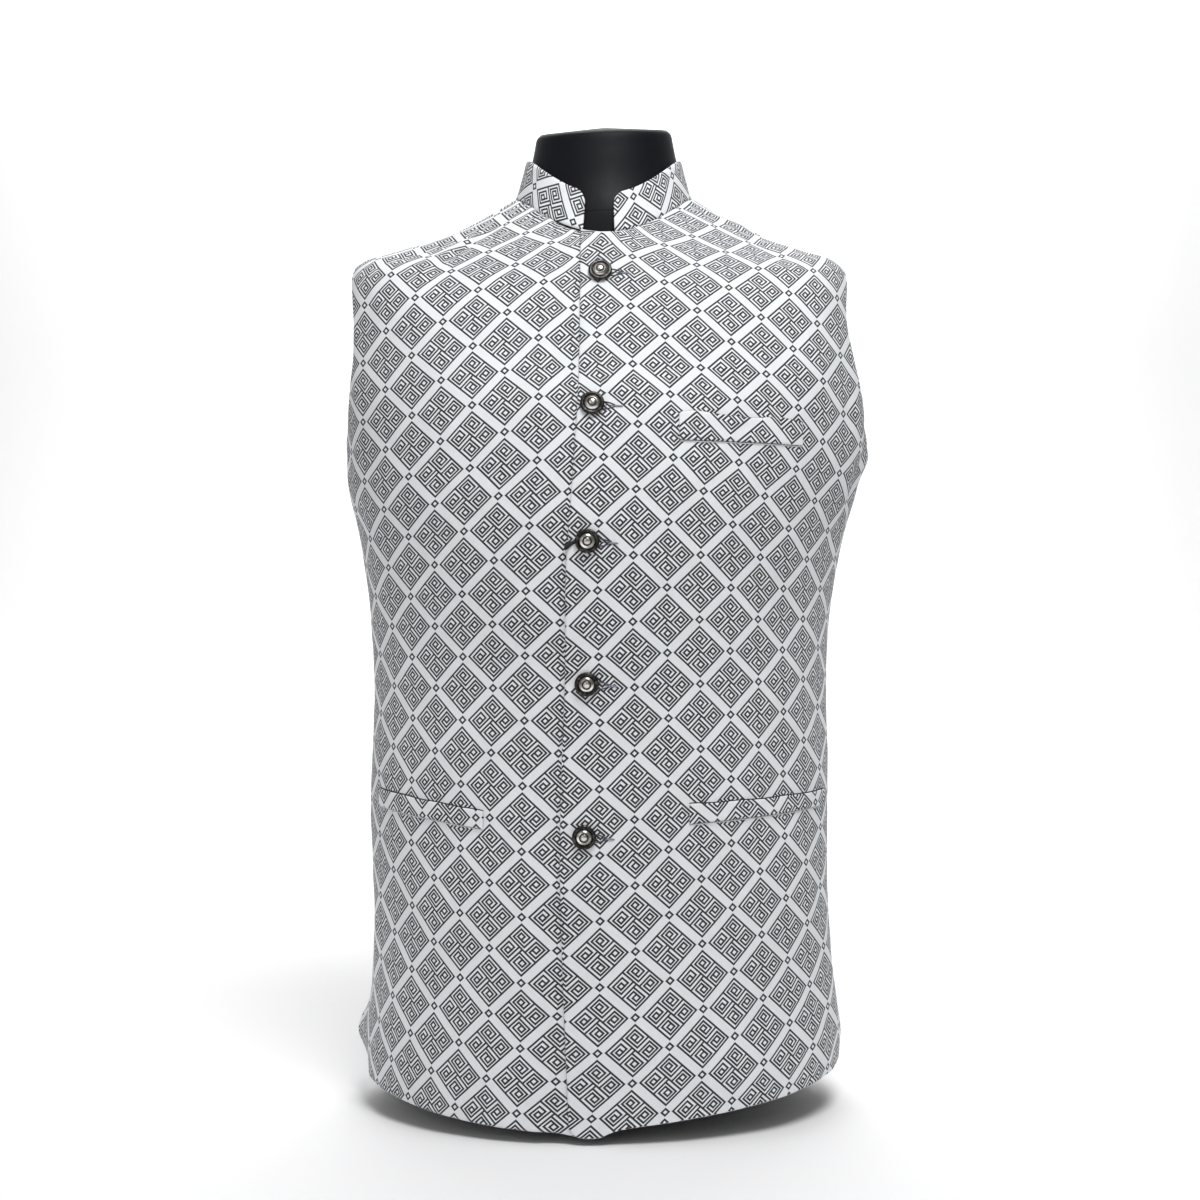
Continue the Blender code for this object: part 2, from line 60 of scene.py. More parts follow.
# Body of the jacket
SECTION_COLUMNS = (
    "level", "half_width", "shift", "side_z", "front", "front_z", "back", "back_z", "roundness",
)
SECTIONS = (
    (0, 187.0, 1.0, 26, 121, 9, 118, 16, 2.10),
    (45, 188.0, 1.5, 55, 120, 46, 116, 50, 2.10),
    (90, 184.5, 1.0, 95, 119, 88, 113, 92, 2.10),
    (150, 181.5, -0.5, 150, 119, 146, 110, 150, 2.10),
    (250, 182.5, -2.0, 250, 121, 246, 106, 250, 2.10),
    (340, 180.5, -1.2, 340, 126, 334, 104, 344, 2.10),
    (400, 184.0, -2.0, 397, 133, 388, 106, 405, 2.12),
    (450, 192.5, -1.0, 450, 138, 436, 111, 462, 2.18),
    (490, 202.5, 0.5, 489, 139, 472, 115, 504, 2.25),
    (515, 205.5, 3.0, 514, 137, 494, 117, 532, 2.32),
    (570, 206.0, 2.5, 568, 129, 540, 119, 588, 2.45),
    (620, 202.5, -0.5, 618, 116, 578, 118, 644, 2.50),
    (660, 199.0, -1.5, 655, 103, 613, 110, 684, 2.50),
    (690, 189.5, -1.0, 668, 94, 634, 101, 703, 2.35),
    (727, 158.0, 0.0, 678.5, 87, 651, 87, 718, 2.20),
    (772, 113.0, 0.5, 695, 79.5, 667, 73, 733, 2.10),
    (815, 71.0, 1.5, 720, 72, 681, 59, 746, 2.00),
)
NECK_LEVEL = 815.0
TIP_LEVEL = 690.0
ARMPIT_LEVEL = 512.0
SIDE_SEAM_Y = 8.0
CLOTH_WALL = 1.8
SEAM_GAP = 0.3
LAP_GAP = 0.5
HEM_RISE_LEFT = -1.0
HEM_RISE_RIGHT = 13.0
HEM_FADE_LEVEL = 200.0
HEM_DIP = 3.5
HEM_DIP_X = -10.0
HEM_DIP_WIDTH = 16.0
HEM_DIP_FADE = 60.0
VENT_LEVEL = 95.0
VENT_GAP = 2.5

# Edges of the armhole, seen from the side
ARMHOLE_COLUMNS = ("share", "front_y", "back_y")
ARMHOLE = (
    (0.00, 7.7, 8.3),
    (0.10, -5.0, 22.0),
    (0.20, -17.0, 34.0),
    (0.30, -28.0, 45.0),
    (0.40, -38.0, 54.0),
    (0.50, -46.0, 61.0),
    (0.60, -52.0, 66.0),
    (0.70, -54.0, 68.5),
    (0.80, -50.0, 68.0),
    (0.88, -39.0, 60.0),
    (0.95, -22.0, 41.0),
    (1.00, -4.0, 20.0),
)
SHOULDER_SEAM_Y = 8.0
SHOULDER_SEAM_FADE = 14.0

# Visible edge of the over front
EDGE_COLUMNS = ("height", "edge_x")
OVER_EDGE = (
    (0, -24.0),
    (78, -27.4),
    (136, -29.6),
    (202, -31.1),
    (283, -29.6),
    (342, -27.3),
    (429, -26.0),
    (472, -22.8),
    (546, -18.0),
    (681, -16.5),
)
UNDER_LAP = 44.0
UNDER_BEND = 26.0
UNDER_BEND_WIDTH = 15.0
OVER_CORNER_WIDTH = 10.0
OVER_CORNER_LEVEL = 8.0
# The soft roll along the edges: middle and width of its strip
ROLL_MIDDLE = 3.4
ROLL_WIDTH = 2.2
EDGE_RIPPLE = 0.16
EDGE_RIPPLE_WIDTH = 9.0
BUTTON_PULL = 0.55
BUTTON_PULL_WIDTH = 26.0
# Distances of the mesh's rows and columns from a panel's edge
RIM = (0.0, 0.3, 0.8, 1.6, 3.0)

# Soft folds: degrees from the side towards the front (negative) or the back (positive)
FOLD_COLUMNS = ("side", "angle", "level", "slant", "width", "length", "depth")
FOLDS = (
    (1, -22, 545, 0.05, 7, 55, 2.2),
    (1, 2, 512, 0.0, 12, 14, 3.0),
    (1, -35, 540, 0.10, 9, 60, -1.6),
    (-1, -24, 535, 0.05, 8, 45, 1.5),
    (1, 20, 480, 0.20, 10, 60, 1.8),
    (-1, 22, 470, 0.20, 10, 60, 1.8),
    (1, 48, 330, 0.15, 10, 90, -1.6),
    (-1, 46, 320, -0.15, 10, 90, -1.6),
    (1, 30, 120, 0.0, 9, 110, 2.6),
    (-1, 34, 110, 0.0, 9, 110, 2.6),
    (1, 62, 80, 0.0, 9, 90, -2.0),
    (-1, 66, 80, 0.0, 9, 90, -2.0),
    (-1, 9, 42, 0.0, 11, 26, 13.5),
    (1, 8, 30, 0.0, 9, 30, 3.0),
    (1, 0, 775, 0.0, 30, 13, 3.6),
)
# Creases that only the finished cloth has, and the shape of the right armhole, in the same columns
CREASES = (
    (1, -17, 500, 0.30, 2.2, 42, -1.5),
    (1, -12, 505, 0.30, 2.4, 46, 1.3),
    (1, -28, 560, 0.16, 2.6, 40, -0.9),
    (1, -40, 590, 0.10, 3.0, 34, 0.7),
    (-1, -20, 600, 0.10, 2.4, 22, -0.9),
    (-1, -26, 560, 0.14, 2.8, 34, 0.8),
    (-1, -15, 500, 0.30, 2.6, 40, -0.9),
    (1, 18, 520, 0.30, 2.4, 44, -1.3),
    (1, 24, 500, 0.26, 2.6, 50, 1.2),
    (-1, 18, 516, 0.30, 2.4, 44, -1.3),
    (-1, 25, 500, 0.26, 2.6, 50, 1.2),
    (1, 52, 600, 0.12, 5.0, 60, 1.2),
    (-1, 54, 590, 0.12, 5.0, 60, 1.2),
    (1, 70, 350, 0.40, 4.0, 45, -1.2),
    (-1, 66, 345, 0.40, 4.0, 45, -1.2),
    (1, 12, 90, 0.0, 4.0, 60, -1.0),
    (-1, 14, 100, 0.0, 4.0, 60, -1.4),
    (1, -16, 150, -0.10, 4.5, 70, 0.8),
    (-1, -14, 120, -0.10, 4.0, 60, 0.9),
    (-1, -44, 738, 0.48, 2.0, 42, -2.2),
    (-1, -40, 738, 0.48, 2.0, 42, 1.8),
    (-1, -31, 722, -0.10, 2.2, 45, -2.0),
    (1, -6, 605, 0.0, 13, 58, -4.5),
    (1, -5, 514, 0.0, 7, 9, 2.0),
    (1, -34, 735, 0.60, 2.6, 45, -1.4),
    (1, 36, 490, 0.42, 5.0, 75, -2.4),
    (1, 45, 468, 0.42, 5.0, 75, 2.2),
    (-1, 38, 476, 0.36, 5.5, 70, -2.2),
    (-1, 48, 452, 0.36, 5.5, 70, 2.0),
    (1, 74, 300, 0.12, 6.0, 110, -2.2),
    (-1, 70, 262, -0.08, 6.5, 105, -2.2),
    (1, 58, 190, 0.05, 6.0, 90, 2.0),
    (-1, 80, 150, 0.06, 5.5, 80, 1.8),
    (-1, 60, 630, 0.45, 5.0, 48, -1.6),
    (1, 66, 640, 0.45, 5.0, 50, -1.8),
)
# Degrees of turn for each mm of level, at a slant of 1
SLANT_TURN = 0.3
# Slow unevenness of the whole cloth: wave lengths up and round, phase and height
WAVE_COLUMNS = ("up", "round", "phase", "height")
WAVES = (
    (173.0, 0.61, 0.4, 0.45),
    (97.0, 0.37, 1.9, 0.30),
    (61.0, -0.29, 3.1, 0.18),
    (229.0, -0.83, 4.7, 0.50),
    (43.0, 0.17, 2.2, 0.08),
)

# How the two fronts lie on the print: half repeats across and up, as a quartic of the place on
# the flat cloth (around / LAY_AROUND, (up - LAY_MIDDLE) / LAY_UP), one row for each term
LAY_AROUND = 200.0
LAY_MIDDLE = 350.0
LAY_UP = 400.0
LAY_COLUMNS = ("power_around", "power_up", "over_across", "over_up", "under_across", "under_up")
LAY = (
    (0, 0, 1.0383, 14.9903, 1.1086, 12.9840),
    (0, 1, 0.1870, 16.4298, -0.2159, 16.6009),
    (0, 2, 0.0500, 0.1096, -0.3562, 0.1642),
    (0, 3, -0.4591, 0.1336, -0.1155, -0.0987),
    (0, 4, 0.2477, -0.1804, 0.1605, -0.5329),
    (1, 0, 7.7583, -0.5944, 7.3531, 0.2544),
    (1, 1, 0.1685, 0.1767, 1.0092, 0.1597),
    (1, 2, -0.1260, 0.2861, -0.3100, -0.6354),
    (1, 3, 0.4335, -0.0742, 0.6843, 0.3542),
    (2, 0, 0.7436, 1.1302, -1.1669, 1.4952),
    (2, 1, -0.5011, 1.7604, 1.7646, 2.3468),
    (2, 2, -0.3390, -0.1133, -0.3582, -0.0791),
    (3, 0, -0.2560, 0.9363, -0.1142, -0.2603),
    (3, 1, 0.1541, -1.0571, 0.1705, 1.2854),
    (4, 0, -0.0334, -1.0221, 0.2875, -0.7979),
)
# Half a repeat of the print, and half repeats at the foot of the back's middle line
HALF_ACROSS = 24.8
HALF_UP = 23.9
BACK_START = (0.35, 0.4)

# Collar band
COLLAR_WALL = 2.2
COLLAR_HEIGHT = 31.0
COLLAR_HEIGHT_BACK = 36.0
COLLAR_LEAN = 9.0
COLLAR_LEAN_BACK = 3.0
COLLAR_CORNER = 9.5
COLLAR_LEFT_X = -14.8
COLLAR_RIGHT_X = 9.5
COLLAR_SINK = 0.9
COLLAR_RIM = (0.0, 0.25, 0.6, 1.2, 2.0, 3.0, 4.4, 6.0, 7.8, 9.6)
COLLAR_BULGE = 0.5
COLLAR_BULGE_LENGTH = 27.0
# Shares of the collar's length between which the print of one end turns into the other's
COLLAR_BLEND_START = 0.32
COLLAR_BLEND_WIDTH = 0.36
COLLAR_PRINT_COLUMNS = ("end", "turn", "across", "up")
COLLAR_PRINT = (
    ("right", 0.0, 1.909, 0.995),
    ("left", 15.0, 2.03, 1.69),
)

# Pocket welts
# The last column is the radius of the dark tube of painted shade along each pocket's mouth.
WELT_COLUMNS = (
    "name", "side", "inner_x", "inner_top", "inner_base", "outer_x", "outer_top", "outer_base",
    "bow", "print_across", "print_up", "print_turn", "mouth",
)
WELTS = (
    ("welt_chest", 1, 55.8, 536.7, 516.0, 148.0, 532.0, 514.2, 1.0, 1.28, 0.37, 2.0, 0.2),
    ("welt_right", 1, 64.0, 250.0, 235.3, 172.0, 253.0, 241.5, 0.0, 0.50, 1.22, -3.0, 0.42),
    ("welt_left", -1, 88.0, 244.0, 230.7, 172.0, 254.5, 241.0, 0.0, -0.56, 1.06, -1.7, 0.42),
)
WELT_GAP = 0.35
WELT_WALL = 1.3
WELT_RIM = (0.0, 0.3, 0.8, 1.5)
WELT_RIM_HEIGHT = 15.0
# A thin dark tube lies above each welt's top: painted shade in the pocket's mouth.
MOUTH_SHADE_ABOVE = 0.25
# A plain roll lies below each welt's base: a fold whose unprinted white is a painted highlight.
FOLD_HIGHLIGHT_BELOW = 0.75
FOLD_HIGHLIGHT_RADIUS = 0.42
# Colour of that tube of painted shade.
MOUTH_SHADE_COLOUR = (0.012, 0.013, 0.016)

# Buttons: middle of each on the over front
BUTTONS = (
    (-1.5, 647.0),
    (-7.3, 542.5),
    (-10.8, 442.6),
    (-11.3, 338.8),
    (-13.2, 226.5),
)
# Turn of each button's painted reflection round its middle, in whole turns.
BUTTON_REFLECTION_TURNS = (0.05, -0.02, 0.12, -0.08, 0.18)
BUTTON_STANDOFF = 0.35
BUTTON_SIDES = 72
BUTTON_PROFILE_COLUMNS = ("radius", "height")
BUTTON_PROFILE = (
    (0.00, 0.00),
    (0.52, 0.00),
    (0.84, 0.45),
    (0.96, 1.10),
    (1.00, 1.90),
    (0.975, 2.60),
    (0.92, 3.02),
    (0.84, 3.20),
    (0.76, 3.12),
    (0.715, 2.88),
    (0.69, 2.62),
    (0.665, 2.70),
    (0.64, 3.05),
    (0.59, 3.62),
    (0.51, 4.22),
    (0.43, 4.60),
    (0.385, 4.72),
    (0.355, 4.66),
    (0.335, 4.52),
    (0.31, 4.62),
    (0.27, 4.90),
    (0.19, 5.20),
    (0.10, 5.34),
    (0.00, 5.38),
)
# Buttonhole, from the button's middle towards the viewer's right: reach and half width of its loop
LOOP_COLUMNS = ("reach", "half")
LOOP = (
    (3.0, 1.9),
    (7.0, 2.5),
    (10.0, 2.6),
    (12.5, 2.1),
    (15.0, 1.2),
    (17.0, 0.5),
)
LOOP_RADIUS = 0.46
BAR_START = 15.5
BAR_END = 22.5
BAR_RADIUS = 0.75
BUTTONHOLE_DROP = -0.8
# Loose end of thread beside the middle button: across, up and radius
LOOSE_COLUMNS = ("across", "up", "radius")
LOOSE_THREAD = (
    (-5.0, -0.2, 0.9),
    (-8.5, -0.6, 1.2),
    (-10.5, -1.2, 1.35),
    (-12.5, -2.4, 1.5),
    (-14.2, -3.8, 1.7),
    (-15.4, -5.2, 1.4),
    (-16.0, -6.8, 0.5),
)
LOOSE_THREAD_BUTTON = 3
LOOSE_COLOUR = (0.008, 0.008, 0.010)

# Dress form
EASE_COLUMNS = ("level", "inset")
EASE = (
    (20, 14.0),
    (70, 13.0),
    (150, 11.0),
    (250, 8.5),
    (350, 7.0),
    (450, 6.5),
    (520, 6.5),
    (600, 5.5),
    (650, 4.6),
    (690, 3.6),
    (727, 2.6),
    (772, 2.6),
    (800, 3.4),
    (815, 3.6),
)
ARM_PLATE_X = 177.0
ARM_PLATE_SOFT = 4.0
FRONT_EASE = 3.6
FRONT_EASE_SPREAD = 0.55
FOOT_HALF_WIDTH = 104.0
FOOT_FRONT = 60.0
FOOT_BACK = 74.0
NECK_COLUMNS = ("front_z", "side_z", "back_z", "half_width", "front", "back")
NECK = (
    (700, 737, 757, 62.5, 63.5, 53.5),
    (725, 752, 768, 58.0, 57.5, 50.0),
    (748, 765, 779, 55.3, 54.5, 48.0),
    (760, 771.5, 783.5, 53.8, 52.8, 46.8),
    (763.5, 775, 786.5, 50.5, 49.5, 43.8),
)
NECK_TOP_Z = 775.5
NECK_MIDDLE_X = 1.5
NECK_TILT = 0.037
NECK_TILT_START = 700.0
NECK_SEAM_Z = 698.0
NECK_CAP = 4.0
FORM_SIDES = 144
# Runs of the form's levels: first, last and how many
FORM_LEVELS = ((20, 512, 15), (545, 690, 7), (703, 790, 7), (797, 815, 4))

# The printed repeat, charted on the side of its square taken as 22. x runs down to the right
# and y up to the right from the square's left corner.
SQUARE_SIDE = 22.0
REPEAT_SIDE = 28.25
KEY_LINES = (
    ((0, 11.5), (22, 11.5)),
    ((11, 22), (11, 13.35), (2, 13.35), (2, 19.9), (9, 19.9), (9, 15.2), (3.75, 15.2)),
    ((13.5, 11.5), (13.5, 20.3), (20.2, 20.3), (20.2, 13.4), (15.3, 13.4), (15.3, 18.5)),
    ((8.8, 11.5), (8.8, 1.8), (2.25, 1.8), (2.25, 9.05), (6.9, 9.05), (6.9, 3.5)),
    ((11.2, 11.5), (11.2, 0)),
    ((11.2, 9.05), (20.3, 9.05), (20.3, 2.3), (13.1, 2.3), (13.1, 7.3), (18.5, 7.3)),
)
# Outlines of squares: x and y of the middle and half the side
KEY_SQUARES = (
    (11.0, 11.0, 11.0),
    (5.20, 16.70, 1.48),
    (16.90, 17.05, 1.52),
    (5.55, 5.05, 1.45),
    (17.05, 5.65, 1.55),
)
CORNER_SQUARE_HALF = 1.47

# Stage, metres: floor from the front edge to a soft bend into the wall
FLOOR_FRONT = -4.0
FLOOR_BACK = 1.6
WALL_BEND = 1.0
WALL_TOP = 5.0
WALL_HALF_WIDTH = 5.0
LIGHT_COLUMNS = ("name", "place", "aim", "size", "power")
LIGHTS = (
    ("key", (0.25, -0.95, 1.95), (0.0, 0.0, 0.54), 0.8, 26.0),
    ("fill", (-1.3, -2.0, 1.2), (0.0, 0.0, 0.40), 1.6, 5.0),
    ("top", (0.0, 0.4, 2.6), (0.0, 0.0, 0.4), 2.2, 5.0),
    ("behind", (0.0, 1.5, 2.4), (0.0, 2.6, 0.9), 2.4, 48.0),
)
WORLD_STRENGTH = 0.30
CAMERA_X = -0.00588


# Shape functions
def column(table, columns, name):
    """One named column of a table as numbers."""
    return np.array([row[columns.index(name)] for row in table], dtype=float)


def hermite(share, first, leave, second, arrive):
    """A point between two others, from both and from the slopes there."""
    back = 1 - share
    return (
        (1 + 2 * share) * back**2 * first
        + share * back**2 * leave
        + share**2 * (3 - 2 * share) * second
        + share**2 * (share - 1) * arrive
    )


def smooth(keys, values, at):
    """A smooth curve through the values at the keys, flat beyond both ends."""
    keys = np.asarray(keys, dtype=float)
    values = np.asarray(values, dtype=float)
    at = np.clip(np.asarray(at, dtype=float), keys[0], keys[-1])
    steps = np.diff(keys)
    slopes = np.diff(values) / steps
    tangent = np.empty(len(keys))
    tangent[0] = slopes[0]
    tangent[-1] = slopes[-1]
    tangent[1:-1] = (slopes[:-1] * steps[1:] + slopes[1:] * steps[:-1]) / (steps[:-1] + steps[1:])
    index = np.clip(np.searchsorted(keys, at, side="right") - 1, 0, len(steps) - 1)
    share = (at - keys[index]) / steps[index]
    leave = steps[index] * tangent[index]
    arrive = steps[index] * tangent[index + 1]
    return hermite(share, values[index], leave, values[index + 1], arrive)


def ease_in(value):
    """0 below 0, 1 above 1 and a soft step between."""
    share = np.clip(value, 0.0, 1.0)
    return share * share * (3 - 2 * share)


def section(name, level):
    """One measure of the body sections at a level."""
    keys = column(SECTIONS, SECTION_COLUMNS, "level")
    return smooth(keys, column(SECTIONS, SECTION_COLUMNS, name), level)


def signed_power(value, power):
    return np.sign(value) * np.abs(value) ** power


def body_surface(level, angle):
    """Points of the smooth body outline. Angle 0 is the viewer's right, -90 the front."""
    level = np.asarray(level, dtype=float)
    angle = np.asarray(angle, dtype=float)
    power = 2.0 / section("roundness", level)
    across = np.cos(angle)
    along = np.sin(angle)
    at_front = along < 0
    depth = np.where(at_front, section("front", level), section("back", level))
    end_z = np.where(at_front, section("front_z", level), section("back_z", level))
    side_z = section("side_z", level)
    x = section("shift", level) + section("half_width", level) * signed_power(across, power)
    y = depth * signed_power(along, power)
    z = side_z + (end_z - side_z) * along**2
    return np.stack([x, y, z], axis=-1)


def surface(level, angle):
    """Points of the jacket's outer face: the body outline with the hem's rise and dip."""
    points = body_surface(level, angle)
    across = np.cos(angle)
    away = np.abs(across)
    rise = np.where(across < 0, HEM_RISE_LEFT, HEM_RISE_RIGHT) * np.sqrt(away) * (1 - 0.4 * away**2)
    dip = HEM_DIP * np.exp(-(((points[..., 0] - HEM_DIP_X) / HEM_DIP_WIDTH) ** 2))
    dip = np.where(np.sin(angle) < 0, dip, 0)
    points[..., 2] += rise * (1 - ease_in(level / HEM_FADE_LEVEL))
    points[..., 2] -= dip * (1 - ease_in(level / HEM_DIP_FADE))
    return points


def outward(level, angle, shape=surface):
    """Unit normals of the outer face."""
    up = shape(level + 0.5, angle) - shape(level - 0.5, angle)
    round_it = shape(level, angle + 0.004) - shape(level, angle - 0.004)
    normal = np.cross(round_it, up)
    return normal / np.linalg.norm(normal, axis=-1, keepdims=True)


def fold_height(level, angle, folds=FOLDS):
    """How far soft folds stand out from the smooth face."""
    total = np.zeros(np.broadcast(level, angle).shape)
    for row in folds:
        fold = dict(zip(FOLD_COLUMNS, row))
        middle = math.radians(fold["angle"])
        if fold["side"] < 0:
            turned = np.angle(np.exp(1j * (math.pi - angle - middle)))
        else:
            turned = np.angle(np.exp(1j * (angle - middle)))
        rise = level - fold["level"]
        spread = np.degrees(turned) - fold["slant"] * rise * SLANT_TURN
        shape = np.exp(-((spread / fold["width"]) ** 2) - (rise / fold["length"]) ** 2)
        total = total + fold["depth"] * shape
    return total


def wave_height(level, angle):
    """Slow unevenness of stiff cloth."""
    total = np.zeros(np.broadcast(level, angle).shape)
    for row in WAVES:
        wave = dict(zip(WAVE_COLUMNS, row))
        turn = 2 * math.pi * (level / wave["up"] + np.sin(angle) / wave["round"]) + wave["phase"]
        total = total + wave["height"] * np.sin(turn) * np.cos(0.5 * turn + angle)
    return total


def angle_at_x(level, x):
    """Angle on the front of a section where it lies at x."""
    half = section("half_width", level)
    offset = x - section("shift", level)
    share = np.clip(np.abs(offset) / half, 0, 1) ** (section("roundness", level) / 2)
    return -math.pi / 2 + np.sign(offset) * np.arcsin(share)


def angle_at_y(level, y, side):
    """Angle near a side of a section where it lies at y."""
    depth = np.where(y < 0, section("front", level), section("back", level))
    share = np.clip(np.abs(y) / depth, 0, 1) ** (section("roundness", level) / 2)
    turn = np.sign(y) * np.arcsin(share)
    return np.where(side > 0, turn, math.pi - turn)


def run_length(points, axis=0):
    """Length along one axis of a row or grid of points, from its start."""
    steps = np.linalg.norm(np.diff(points, axis=axis), axis=-1)
    start = np.zeros_like(np.take(steps, [0], axis=axis))
    return np.concatenate([start, np.cumsum(steps, axis=axis)], axis=axis)


def panel_levels(step):
    """Levels of a panel's rows, close at the hem, armpit and neckline."""
    rim = np.array(RIM)
    body = np.linspace(4.6, ARMPIT_LEVEL, int(ARMPIT_LEVEL / step))[:-1]
    armhole = ARMPIT_LEVEL + (TIP_LEVEL - ARMPIT_LEVEL) * np.linspace(0, 1, 46) ** 2
    shoulder = np.linspace(TIP_LEVEL, NECK_LEVEL - 3.0, int(125 / step))[1:]
    return np.concatenate([rim, body, armhole, shoulder, (NECK_LEVEL - rim)[::-1][1:]])


def outer_y(levels, at_front):
    """Where a panel ends at its side: side seam, then armhole, then shoulder seam."""
    share = np.sqrt(np.clip((levels - ARMPIT_LEVEL) / (TIP_LEVEL - ARMPIT_LEVEL), 0, 1))
    keys = column(ARMHOLE, ARMHOLE_COLUMNS, "share")
    name = "front_y" if at_front else "back_y"
    armhole = smooth(keys, column(ARMHOLE, ARMHOLE_COLUMNS, name), share)
    sign = -1 if at_front else 1
    half_gap = SEAM_GAP / 2 * sign
    vent = VENT_GAP / 2 * (1 - ease_in(levels / VENT_LEVEL)) * sign
    side = SIDE_SEAM_Y + half_gap + vent
    reach = (levels - TIP_LEVEL) / SHOULDER_SEAM_FADE
    shoulder = SHOULDER_SEAM_Y + half_gap + (armhole[-1] - SHOULDER_SEAM_Y - half_gap) * np.exp(
        -np.clip(reach, 0, None)
    )
    y = np.where(levels < ARMPIT_LEVEL, side, armhole)
    return np.where(levels >= TIP_LEVEL, shoulder, y)


def spread(levels, start, end, step):
    """Angles of each row between its ends, close together beside both edges."""
    rim = np.array(RIM)
    count = None
    rows = []
    for row, level in enumerate(levels):
        fine = np.linspace(start[row], end[row], 200)
        length = run_length(surface(np.full(200, level), fine))
        if count is None:
            count = int(length[-1] / step)
        middle = np.linspace(rim[-1], length[-1] - rim[-1], count + 1)[1:-1]
        wanted = np.concatenate([rim, middle, (length[-1] - rim)[::-1]])
        rows.append(np.interp(wanted, length, fine))
    return np.array(rows)


def over_edge_x(height):
    keys = column(OVER_EDGE, EDGE_COLUMNS, "height")
    return smooth(keys, column(OVER_EDGE, EDGE_COLUMNS, "edge_x"), height)


def front_angles(side, step):
    """Row levels and angles of one front, from its middle edge to its side."""
    levels = panel_levels(step)
    edge = over_edge_x(section("front_z", levels))
    if side < 0:
        edge = edge + UNDER_LAP
    else:
        rise = np.clip(1 - levels / OVER_CORNER_LEVEL, 0, 1)
        edge = edge + OVER_CORNER_WIDTH * (1 - np.sqrt(1 - rise**2 * 0.999))
    start = angle_at_x(levels, edge)
    end = angle_at_y(levels, outer_y(levels, True), side)
    if side < 0:
        end = end - 2 * math.pi
    return levels, spread(levels, start, end, step)


def under_sink(points):
    """How far the under front dips to pass beneath the over front."""
    reach = points[..., 0] - over_edge_x(points[..., 2]) + UNDER_BEND
    return (CLOTH_WALL + LAP_GAP) * ease_in(reach / UNDER_BEND_WIDTH)


def placket_pull(points):
    """Slight ripples along the visible front edge and shallow pulls beside each button."""
    from_edge = points[..., 0] - over_edge_x(points[..., 2])
    height = points[..., 2]
    ripple = np.sin(height / 6.1 + 1.3 * np.sin(height / 23.0)) * EDGE_RIPPLE
    total = ripple * np.exp(-((from_edge / EDGE_RIPPLE_WIDTH) ** 2))
    for x, z in BUTTONS:
        gap = height - z
        pull = np.exp(-((gap / 5.0) ** 2)) - 0.6 * np.exp(-((gap / 13.0) ** 2))
        reach = (points[..., 0] - x - 4) / BUTTON_PULL_WIDTH
        total = total - BUTTON_PULL * pull * np.exp(-(reach**2))
    return total


def edge_distance(points):
    """Distance of each grid point from the panel's nearest edge, along its rows and columns."""
    across = run_length(points, 1)
    up = run_length(points, 0)
    return np.minimum(
        np.minimum(across, across[:, -1:] - across), np.minimum(up, up[-1:] - up)
    )


def shell(outer, normals, wall, swell=0.25):
    """Outer and inner points of a wall whose edges are turned round, with a soft roll beside them."""
    reach = edge_distance(outer)
    turn = np.clip(1 - reach / (wall * 0.9), 0, 1)
    half = wall / 2 * np.sqrt(np.clip(1 - turn**2 * 0.97, 0, 1))
    roll = swell * np.exp(-(((reach - ROLL_MIDDLE) / ROLL_WIDTH) ** 2))
    middle = outer + normals * (roll - wall / 2)[..., None]
    return middle + normals * half[..., None], middle - normals * half[..., None]


class FlatPlace:
    """Place of any point of the body on the flat cloth: around from a middle line, and up."""

    def __init__(self, first, last, middle):
        self.levels = np.linspace(0, NECK_LEVEL, 164)
        self.angles = np.linspace(first, last, 421)
        level, angle = np.meshgrid(self.levels, self.angles, indexing="ij")
        points = body_surface(level, angle)
        across = run_length(points, 1)
        at_middle = np.array([np.interp(middle, self.angles, row) for row in across])
        self.tables = (across - at_middle[:, None], run_length(points, 0))

    def __call__(self, level, angle):
        smooth_body = body_surface(level, angle)[..., 2]
        slope = body_surface(level + 1.0, angle)[..., 2] - body_surface(level - 1.0, angle)[..., 2]
        lifted = surface(level, angle)[..., 2] - smooth_body
        level = level + np.where(np.abs(lifted) > 1e-6, 2 * lifted / np.maximum(slope, 0.5), 0)
        row = level / (self.levels[1] - self.levels[0])
        step = self.angles[1] - self.angles[0]
        place = (angle - self.angles[0]) / step
        low_row = np.clip(row.astype(int), 0, len(self.levels) - 2)
        low = np.clip(place.astype(int), 0, len(self.angles) - 2)
        up = row - low_row
        over = place - low
        found = []
        for table in self.tables:
            first = table[low_row, low] * (1 - over) + table[low_row, low + 1] * over
            second = table[low_row + 1, low] * (1 - over) + table[low_row + 1, low + 1] * over
            found.append(first * (1 - up) + second * up)
        return found


FRONT_PLACE = FlatPlace(-math.pi - 0.35, 0.35, -math.pi / 2)
BACK_PLACE = FlatPlace(-0.35, math.pi + 0.35, math.pi / 2)


def front_print(level, angle, side):
    """Half repeats across and up at a place of a front."""
    around, up = FRONT_PLACE(level, angle)
    around = around / LAY_AROUND
    up = (up - LAY_MIDDLE) / LAY_UP
    across = np.zeros(around.shape)
    rise = np.zeros(around.shape)
    for row in LAY:
        term = dict(zip(LAY_COLUMNS, row))
        value = around ** term["power_around"] * up ** term["power_up"]
        across = across + value * term["over_across" if side > 0 else "under_across"]
        rise = rise + value * term["over_up" if side > 0 else "under_up"]
    return np.stack([across, rise], axis=-1)


def turned_print(across, up, degrees, start):
    """Half repeats turned in the cloth's plane and moved to a start."""
    turn = math.radians(degrees)
    return np.stack(
        [
            start[0] + across * math.cos(turn) - up * math.sin(turn),
            start[1] + across * math.sin(turn) + up * math.cos(turn),
        ],
        axis=-1,
    )


def back_print(level, angle):
    """Half repeats across and up at a place of the back."""
    around, up = BACK_PLACE(level, angle)
    across = around / HALF_ACROSS + BACK_START[0]
    return np.stack([across, up / HALF_UP + BACK_START[1]], axis=-1)


